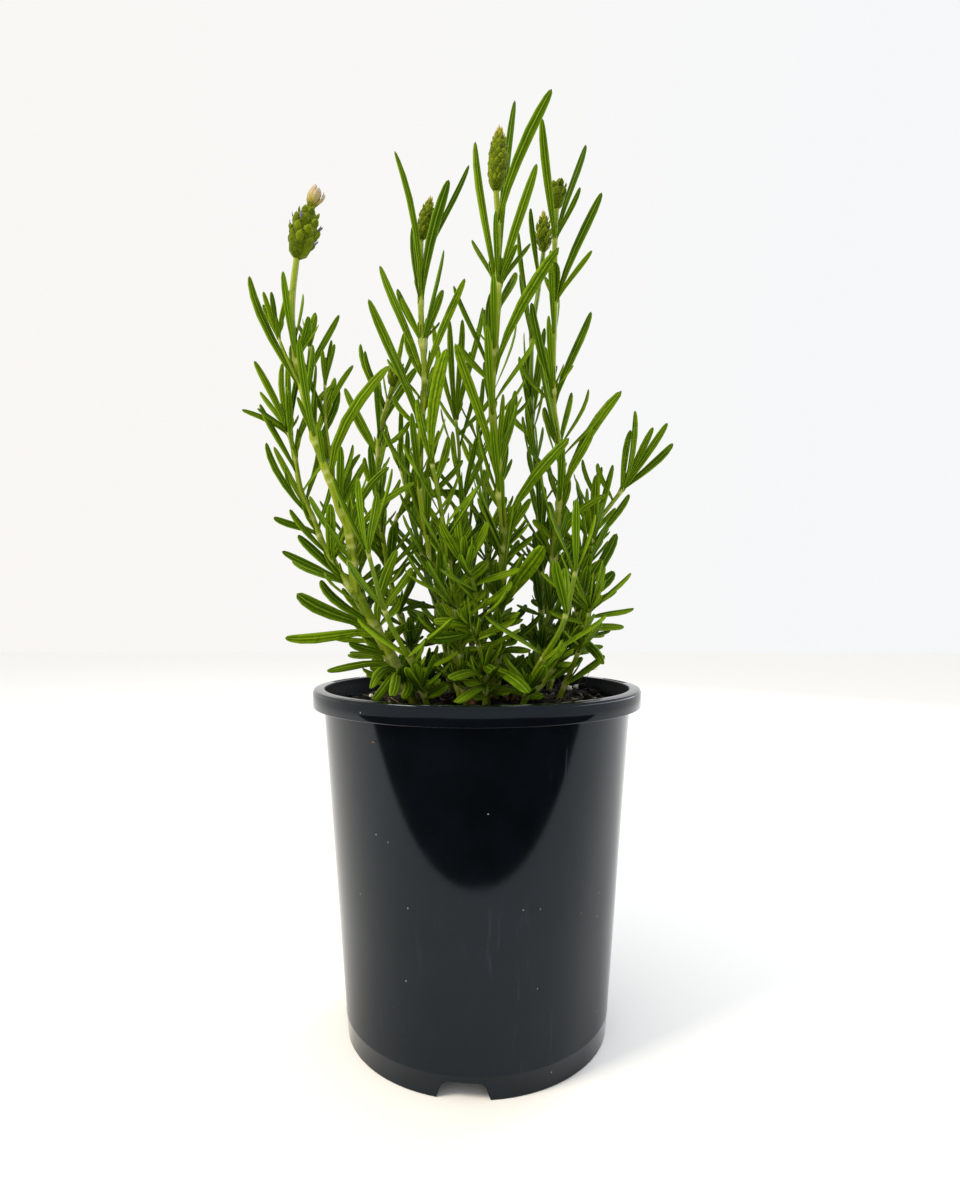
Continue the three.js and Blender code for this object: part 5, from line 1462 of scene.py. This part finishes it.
# rows of bracts, bracts in a row, their length, flare in degrees, and how yellow the tip is
SPIKE_FORMS = {
    "spike_open": (6, 7, 6.4, 20, 0.15),
    "spike_left": (6, 7, 4.6, 18, 0.4),
    "spike_middle": (9, 7, 4.0, 12, 0.5),
    "spike_tall": (12, 8, 4.8, 13, 0.75),
    "spike_right": (3, 5, 6.4, 14, 0.0),
    "spike_back": (8, 7, 5.0, 26, 0.8),
    "bud_right": (3, 4, 2.6, 14, 0.6),
}
TOP_ROW, GREEN_TOP_ROW = 0.9, 0.6       # a head without a yellow tip ends lower
spike_draw = seeded(29)


def spike_axes(name):
    foot, tip, radius = SPIKES[name]
    foot, tip = np.array(foot, float), np.array(tip, float)
    up = unit(tip - foot)
    across = unit(np.array([1, 0, 0]) - up * up[0])
    return foot, tip - foot, up, across, np.cross(up, across), radius


def bract_part(name, share, azimuth, length, flare, marks, width=None):
    """One bract with its foot on the core, leaning out by the flare and cupped back in."""
    foot, axis, up, across, along, radius = spike_axes(name)
    outward = across * math.cos(azimuth) + along * math.sin(azimuth)
    reach = radius * np.interp(share, [s for s, _ in CORE_PROFILE], [h for _, h in CORE_PROFILE])
    if width is None:
        width = max(math.pi * reach / SPIKE_FORMS[name][1] * OVERLAP, 0.7)
    lean = math.radians(flare)
    start = foot + axis * share + outward * reach * SEATED
    tip = start + up * length * math.cos(lean) + outward * length * math.sin(lean)
    first = start + up * length * 0.3 + outward * length * math.sin(lean) * 0.8
    second = tip - up * length * 0.3 + outward * length * 0.12
    points = bent(scale_bract, (start, first, second, tip), width / 2, outward)
    return scale_bract, points, marks, 0


def core_part(name):
    foot, axis, _, across, along, radius = spike_axes(name)
    x, y, z = core.points.T
    points = foot + np.outer(y, axis) + np.outer(x, across) * radius + np.outer(z, along) * radius
    return core, points, (0.1, 0, 0, 0), 0


def spike_parts(name):
    rows, around, length, flare, yellow_tip = SPIKE_FORMS[name]
    parts = [core_part(name)]
    for row in range(rows):
        share = 0.02 + (TOP_ROW if yellow_tip else GREEN_TOP_ROW) * row / (rows - 1)
        taper = 1 - 0.5 * share
        closing = 1 - 2.2 * max(share - 0.5, 0) if yellow_tip else 1
        for place in range(around):
            azimuth = 2 * math.pi * (place + 0.5 * (row % 2)) / around
            azimuth += 0.25 * (spike_draw() - 0.5)
            yellow = yellow_tip * max(share - YELLOW_FROM, 0) / (1 - YELLOW_FROM)
            tone = 0.6 * spike_draw() * (1 if yellow_tip else 0.4)
            marks = (tone, min(yellow, 1), 0, 0)
            bract_length = length * taper * (0.9 + 0.2 * spike_draw())
            bract_flare = flare * closing * (0.8 + 0.4 * spike_draw())
            parts.append(bract_part(name, share, azimuth, bract_length, bract_flare, marks))
    if yellow_tip > 0.3:
        for turn in BEAK_TURNS:
            parts.append(bract_part(name, BEAK_AT, turn, length * 0.8, BEAK_LEAN, BEAK_MARKS))
    return parts


print("spike_tall:", len(spike_parts("spike_tall")), "parts")

# %% The spikes
VIOLET_MOUTHS = [(0.28, 0.1), (0.55, 0.15), (0.5, 3.2), (0.36, 2.9), (0.62, 3.4), (0.58, 4.6)]
MOUTH_LENGTH, MOUTH_FLARE, MOUTH_MARKS, MOUTH_WIDTH = 4.4, 34, (0.9, 0.2, 0, 0.7), 1.7

for name in SPIKES:
    parts = spike_parts(name)
    if name == "spike_open":
        for share, azimuth in VIOLET_MOUTHS:
            parts.append(bract_part(name, share, azimuth, MOUTH_LENGTH, MOUTH_FLARE, MOUTH_MARKS,
                                    MOUTH_WIDTH))
    piece = gather(name + "_dressed", parts, [spike_skin])
    dress(piece, name)
    print(name, len(piece.data.polygons), "faces")

# %% [markdown]
# ## The tuft
# The open head is crowned by a few sterile bracts like petals: thin, cream, almost glassy at the
# top and yellow-green at the foot. They are wide blades that overlap and lean to the right.

# %% Tuft
PETAL = [(0, 0.6), (0.25, 0.85), (0.5, 1), (0.72, 0.95), (0.9, 0.62), (1, 0.12)]
PETAL_CUT = [(1, 0.22), (0.5, 0.0), (0, -0.06), (-0.5, 0.0), (-1, 0.22),
             (-0.55, -0.09), (0, -0.15), (0.55, -0.09)]
petal = Shape(blade("petal", PETAL_CUT, PETAL), PETAL)
# azimuth, lean from the spike's axis, length and width of each petal
PETALS = [(20, 12, 9.6, 3.8), (95, 4, 10.4, 4.0), (170, 3, 10.4, 3.8), (245, 3, 10.6, 4.6),
          (310, 9, 9.2, 4.0), (355, 24, 8.2, 2.6)]

cream, tree, finish = new_material(
    "thin_cream_petal", Roughness=0.6, Specular_IOR_Level=0.2, Subsurface_Weight=0.2,
    Subsurface_Radius=(1.0, 0.9, 0.6), Subsurface_Scale=1.0 * MM)
blade_uv = add(tree, "SeparateXYZ", {0: add(tree, "UVMap", uv_map="blade")})
streak_place = add(tree, "CombineXYZ", {"X": blade_uv.outputs["X"], "Y": blade_uv.outputs["Y"]})
streak_place = add(tree, "Mapping", {"Vector": streak_place, "Scale": (6.0, 0.5, 1.0)})
streaks = add(tree, "TexNoise", {"Vector": streak_place, "Scale": 1.2, "Detail": 2.0})
height = add(tree, "Math", {0: streaks, 1: 0.3, 2: blade_uv.outputs["Y"]},
             operation="MULTIPLY_ADD")
skin = add(tree, "ValToRGB", {"Fac": height}, stops=[
    (0.15, "#6e7c12"), (0.42, "#94893a"), (0.7, "#a8976a"), (0.997, "#ab9c88"), (1.0, "#b5a58e")])
bump = add(tree, "Bump", {"Height": streaks, "Strength": 0.1, "Distance": 0.1 * MM})
wire(tree, finish, Base_Color=skin, Normal=bump)

foot, axis, up, across, along, _ = spike_axes("spike_open")
seat = foot + axis + up * 0.4
parts = []
for azimuth, lean, length, width in PETALS:
    azimuth, lean = math.radians(azimuth), math.radians(lean)
    outward = across * math.cos(azimuth) + along * math.sin(azimuth)
    start = seat + outward * 1.3 - up * 1.8
    tip = start + up * length * math.cos(lean) + outward * length * math.sin(lean)
    tip += across * 0.6
    first = start + up * length * 0.3 + outward * (1.4 + length * 0.1)
    second = tip - up * length * 0.3 + outward * length * 0.08
    parts.append((petal, bent(petal, (start, first, second, tip), width / 2, -outward),
                  (0, 0, 0, 0), 0))
tuft = gather("tuft_dressed", parts, [cream])
dress(tuft, "tuft")
print("tuft:", len(tuft.data.polygons), "faces")

# %% [markdown]
# ## Pruned stubs
# Two old stems were cut off close to the peat. What is left is brown bark, flaking in strips, with
# a ragged paler end. A round rod is bent along each, its skin pushed in and out a little.

# %% Bark and stubs
bark_skin, tree, finish = new_material("flaking_lavender_bark", Roughness=0.85)
place = add(tree, "TexCoord").outputs["Object"]
stretched = add(tree, "Mapping", {"Vector": place, "Scale": (1, 1, 0.22)})
strips = add(tree, "TexNoise", {"Vector": stretched, "Scale": 900.0, "Detail": 4.0,
                                "Roughness": 0.65})
skin = add(tree, "ValToRGB", {"Fac": strips}, stops=[
    (0.32, "#1c1108"), (0.46, "#442c15"), (0.72, "#8a6638"), (0.721, "#624522")])
bump = add(tree, "Bump", {"Height": strips, "Strength": 0.9, "Distance": 0.6 * MM})
wire(tree, finish, Base_Color=skin, Normal=bump)

STUB_SIDES = 14
JAG = 1.6               # how ragged the cut end is, in millimetres
JAG_FROM = 0.93         # of the stub's length
STUB_PROFILE = [(0, 0.9), (0.3, 0.95), (0.5, 1.05), (0.6, 0.96), (0.7, 1.06), (0.8, 0.94),
                (0.88, 1.0), (0.94, 0.94), (0.985, 0.8), (1, 0.5)]
stub_cut = [(math.cos(a) * (1 + 0.1 * math.sin(5 * a)), math.sin(a) * (1 + 0.1 * math.sin(5 * a)))
            for a in np.linspace(0, 2 * math.pi, STUB_SIDES, endpoint=False)]
stub_shape = Shape(blade("stub", stub_cut, STUB_PROFILE), STUB_PROFILE)
stub_draw = seeded(41)
for name, line in stub_lines.items():
    start, middle, end = (np.array(p) for p in line)
    root = STUBS[name][3]
    points = bent(stub_shape, (start, lerp(start, middle, 0.7), lerp(end, middle, 0.5), end), root,
                  (0, -1, 0))
    jag = np.array([stub_draw() for _ in points]) - 0.5
    points[:, 2] += jag * JAG * (stub_shape.points[:, 1] > JAG_FROM)
    piece = gather(name + "_dressed", [(stub_shape, points, (0, 0, 0, 0), 0)], [bark_skin])
    dress(piece, name)
print("stubs:", list(stub_lines))

# %% [markdown]
# ## The peat
# Potting soil is peat: almost black crumbs of every size, with brown fibres, chips of bark and
# white grains of perlite on top. The bed itself is a circle extruded up from the pot's floor and
# then inwards ring by ring, and its surface is raised and lowered by the soil's own formula, plus
# a fine roughness. The crumbs and clods are two rough lumps, copied and turned.

# %% Peat bed
SOIL_RINGS = 40
SOIL_CORNERS = 150
SOIL_FOOT = FLOOR_UNDER + FLOOR_PLATE + 0.35
SIDE_GAP = 0.7

soil_edge = wall(SOIL_TOP - 6) - WALL - SIDE_GAP
foot_edge = wall(SOIL_FOOT) - WALL - SIDE_GAP
deselect()
bpy.ops.mesh.primitive_circle_add(vertices=SOIL_CORNERS, radius=foot_edge * MM, fill_type="NGON",
                                  location=(0, 0, SOIL_FOOT * MM))
peat_bed = bpy.context.object
peat_bed.name = "peat_dressed"
bpy.ops.object.transform_apply(location=True)
bpy.ops.object.mode_set(mode="EDIT")
share = soil_edge / foot_edge
next_ring((0, 0, (SOIL_TOP - SOIL_FOOT) * MM), (share, share, 1), (0, 0, 0))
for ring in range(SOIL_RINGS, 1, -1):
    share = (ring - 1) / ring
    next_ring((0, 0, 0), (share, share, 1), (0, 0, 0))
bpy.ops.mesh.merge(type="CENTER")
faces_outward()
print("peat bed:", len(peat_bed.data.polygons), "faces")


# %% Lumps on the peat
def rough(x, y):
    """A fine roughness of about a millimetre, from crossed waves of unlike lengths."""
    waves = [(1.9, 0.7, 0.3), (-0.8, 2.3, 1.1), (3.1, -2.2, 2.0), (2.4, 3.6, 0.5),
             (-4.9, 1.6, 4.0), (1.2, -5.3, 2.6)]
    return sum(np.sin(a * x + b * y + c) / (1 + 0.25 * k) for k, (a, b, c) in enumerate(waves)) / 3


def bed_height(x, y):
    return soil_height(x, y) + 0.9 * rough(0.45 * x, 0.45 * y) + 0.5 * rough(x, y)


points = np.array([corner.co for corner in peat_bed.data.vertices]) / MM
on_top = points[:, 2] > SOIL_TOP - 1
heights = bed_height(points[:, 0], points[:, 1])
points[on_top, 2] = heights[on_top]
peat_bed.data.vertices.foreach_set("co", (points * MM).ravel())
peat_bed.data.update()
peat_bed.data.shade_smooth()
print("peat from", round(points[:, 2].min(), 1), "to", round(points[:, 2].max(), 1), "mm")

# %% Peat, perlite and fibre finishes
peat, tree, finish = new_material("damp_peat_crumb", Roughness=0.95, Specular_IOR_Level=0.2)
place = add(tree, "TexCoord").outputs["Object"]
crumb = add(tree, "TexNoise", {"Vector": place, "Scale": 420.0, "Detail": 6.0, "Roughness": 0.7})
spread = add(tree, "TexNoise", {"Vector": place, "Scale": 55.0, "Detail": 3.0})
mood = add(tree, "Math", {0: spread, 1: 0.5, 2: crumb}, operation="MULTIPLY_ADD")
skin = add(tree, "ValToRGB", {"Fac": mood}, stops=[
    (0.5, "#040302"), (0.72, "#0f0c08"), (0.997, "#44382a"), (1.0, "#1f1811")])
bump = add(tree, "Bump", {"Height": crumb, "Strength": 1.0, "Distance": 1.2 * MM})
wire(tree, finish, Base_Color=skin, Normal=bump)

perlite, tree, finish = new_material("expanded_perlite", Roughness=0.8, Subsurface_Weight=0.2,
                                     Subsurface_Radius=(1.0, 1.0, 1.0), Subsurface_Scale=1.0 * MM)
place = add(tree, "TexCoord").outputs["Object"]
pores = add(tree, "TexVoronoi", {"Vector": place, "Scale": 1600.0})
skin = add(tree, "ValToRGB", {"Fac": pores}, stops=[(0.0, "#9a9a90"), (0.6, "#d8d8cf")])
bump = add(tree, "Bump", {"Height": pores, "Strength": 0.6, "Distance": 0.5 * MM})
wire(tree, finish, Base_Color=skin, Normal=bump)

fibre, tree, finish = new_material("dry_plant_fibre", Roughness=0.8)
tone = add(tree, "SeparateColor", {0: add(tree, "Attribute", attribute_name="marks")})
place = add(tree, "TexCoord").outputs["Object"]
speckle = add(tree, "TexNoise", {"Vector": place, "Scale": 700.0, "Detail": 3.0})
mood = add(tree, "Math", {0: speckle, 1: 0.4, 2: tone}, operation="MULTIPLY_ADD")
skin = add(tree, "ValToRGB", {"Fac": mood}, stops=[
    (0.15, "#0a0705"), (0.5, "#241b12"), (0.997, "#a98f6c"), (1.0, "#54412d")])
bump = add(tree, "Bump", {"Height": speckle, "Strength": 0.6, "Distance": 0.3 * MM})
wire(tree, finish, Base_Color=skin, Normal=bump)
print("soil finishes:", peat.name, perlite.name, fibre.name)


# %% One crumb, one clod, one fibre, one chip
def lump(name, detail, squash):
    """A rough ball: its corners are pushed in and out."""
    deselect()
    bpy.ops.mesh.primitive_ico_sphere_add(subdivisions=detail, radius=1)
    piece = bpy.context.object
    piece.name = name
    bpy.ops.object.mode_set(mode="EDIT")
    bpy.ops.transform.resize(value=squash)
    bpy.ops.object.mode_set(mode="OBJECT")
    for corner in piece.data.vertices:
        x, y, z = corner.co
        corner.co *= 1 + 0.2 * math.sin(5.1 * x + 2.3 * y) * math.cos(4.3 * z + x) \
            + 0.12 * math.sin(9.0 * y - 7.0 * z)
    return Shape(piece, [(-2, 1), (2, 1)])


crumb_shape = lump("crumb", 1, (1, 0.85, 0.75))
clod_shape = lump("clod", 2, (1, 0.9, 0.7))
FIBRE_ROUTE = [(0, 0.7), (0.3, 1), (0.6, 0.9), (0.85, 0.7), (1, 0.3)]
FIBRE_CUT = [(math.cos(a), 0.7 * math.sin(a)) for a in np.linspace(0, 2 * math.pi, 6)[:-1]]
fibre_shape = Shape(blade("fibre", FIBRE_CUT, FIBRE_ROUTE), FIBRE_ROUTE)
CHIP_CUT = [(1, -0.06), (0.9, 0.08), (0, 0.14), (-0.9, 0.08), (-1, -0.06), (0, -0.12)]
CHIP_ROUTE = [(0, 0.5), (0.1, 0.9), (0.5, 1), (0.9, 0.85), (1, 0.4)]
chip_shape = Shape(blade("chip", CHIP_CUT, CHIP_ROUTE), CHIP_ROUTE)

# %% Scattering crumbs
CRUMBS = 1500
CLODS = 150
CRUMB_SIZE = (0.5, 1.7)
soil_draw = seeded(57)


def soil_place():
    """A place on the bed, evenly spread."""
    out = (soil_edge - 1.5) * math.sqrt(soil_draw())
    azimuth = 2 * math.pi * soil_draw()
    return out * math.cos(azimuth), out * math.sin(azimuth)


def turned(points, spin, tip):
    """Points turned about the upright, then tipped over."""
    c, s = math.cos(spin), math.sin(spin)
    points = points @ np.array([[c, s, 0], [-s, c, 0], [0, 0, 1]])
    c, s = math.cos(tip), math.sin(tip)
    return points @ np.array([[1, 0, 0], [0, c, s], [0, -s, c]])


def lump_part(shape, x, y, size, slot, sunk=0.35):
    points = turned(shape.points * size, 6.28 * soil_draw(), 1.2 * soil_draw())
    height = bed_height(np.float64(x), np.float64(y)) + size * (0.75 - sunk)
    return shape, points + (x, y, height), (soil_draw(), 0, 0, 0), slot


parts = []
for _ in range(CRUMBS):
    x, y = soil_place()
    size = lerp(*CRUMB_SIZE, soil_draw()**2.2)
    parts.append(lump_part(crumb_shape, x, y, size, 0))
for _ in range(CLODS):
    x, y = soil_place()
    parts.append(lump_part(clod_shape, x, y, 1.6 + 1.6 * soil_draw(), 0, 0.6))
print("crumbs and clods:", len(parts))

# %% Perlite, fibres and chips
PERLITE = [(52, 38, 2.1), (56.5, 39, 1.8), (-20, -52, 1.3), (30, -58, 1.1), (-58, 22, 1.5),
           (10, 60, 1.6), (-35, 52, 1.3), (62, -12, 1.4), (44, 55, 1.2), (-8, -64, 1.1),
           (-63, -8, 1.2), (-44, -42, 1.0), (35, 20, 1.0), (-12, 34, 1.2)]
FIBRES = 170
CHIPS = 46
# fibres that stand up at the back right: foot, handles and tip, half-width and tone
STANDING = [
    [(50, 46, 163), (51, 47, 168), (49, 46, 171), (50.5, 46, 174), 0.45, 0.0],
    [(49, 44, 163), (47, 45, 167), (46, 45, 169), (45.5, 45, 170.5), 0.35, 0.1],
    [(62, 40, 164), (62, 41, 170), (64, 42, 174), (70, 42, 173), 0.16, 0.9],
    [(57, 42, 164), (59, 41, 168), (61, 40, 169), (60, 38, 170), 0.3, 0.35],
]


def lying(length, width, tone, shape, lift):
    """A fibre or chip that lies on the peat, a little bent."""
    x, y = soil_place()
    azimuth = 2 * math.pi * soil_draw()
    reach = np.array([math.cos(azimuth), math.sin(azimuth), 0]) * length / 2
    middle = np.array([x, y, 0])
    aside = np.array([-reach[1], reach[0], 0]) * 0.5 * (soil_draw() - 0.5)
    line = [middle - reach, middle - reach * 0.3 + aside, middle + reach * 0.3 - aside,
            middle + reach]
    for point in line:
        out = math.hypot(point[0], point[1])
        if out > soil_edge - 1:
            point[:2] *= (soil_edge - 1) / out
        point[2] = bed_height(point[0], point[1]) + lift * (0.4 + soil_draw())
    points = bent(shape, line, width, (0, 0, 1), twist=2 * soil_draw())
    return shape, points, (tone, 0, 0, 0), 2


for x, y, size in PERLITE:
    parts.append(lump_part(clod_shape, x, y, size, 1, 0.1))
for _ in range(FIBRES):
    length, width = 4 + 9 * soil_draw(), 0.2 + 0.25 * soil_draw()
    parts.append(lying(length, width, soil_draw(), fibre_shape, 0.9))
for _ in range(CHIPS):
    length, width = 3 + 5 * soil_draw(), 0.8 + 0.9 * soil_draw()
    parts.append(lying(length, width, 0.3 + 0.7 * soil_draw(), chip_shape, 0.8))
for *line, width, tone in STANDING:
    parts.append((fibre_shape, bent(fibre_shape, line, width, (0, -1, 0.1)), (tone, 0, 0, 0), 2))
crumbs = gather("peat_crumbs", parts, [peat, perlite, fibre])
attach(crumbs, "root")
peat_bed.data.materials.append(peat)
dress(peat_bed, "soil")
print("crumbs:", len(crumbs.data.polygons), "faces")

# %% A tan splinter that has stuck to the front of the pot, below the band
SPLINTER_AZIMUTH = 235
SPLINTER_HEIGHT = 150.8

turn, height = math.radians(SPLINTER_AZIMUTH), SPLINTER_HEIGHT
seat = np.array([math.cos(turn), math.sin(turn), 0]) * (wall(height) + 0.25)
ahead = np.array([-math.sin(turn), math.cos(turn), 0])
line = [seat + ahead * run + (0, 0, height) for run in (-1.2, -0.4, 0.4, 1.2)]
splinter = gather("splinter", [(fibre_shape, bent(fibre_shape, line, 0.4, seat), (1, 0, 0, 0), 0)],
                  [fibre])
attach(splinter, "root")
print("splinter:", len(splinter.data.polygons), "faces")
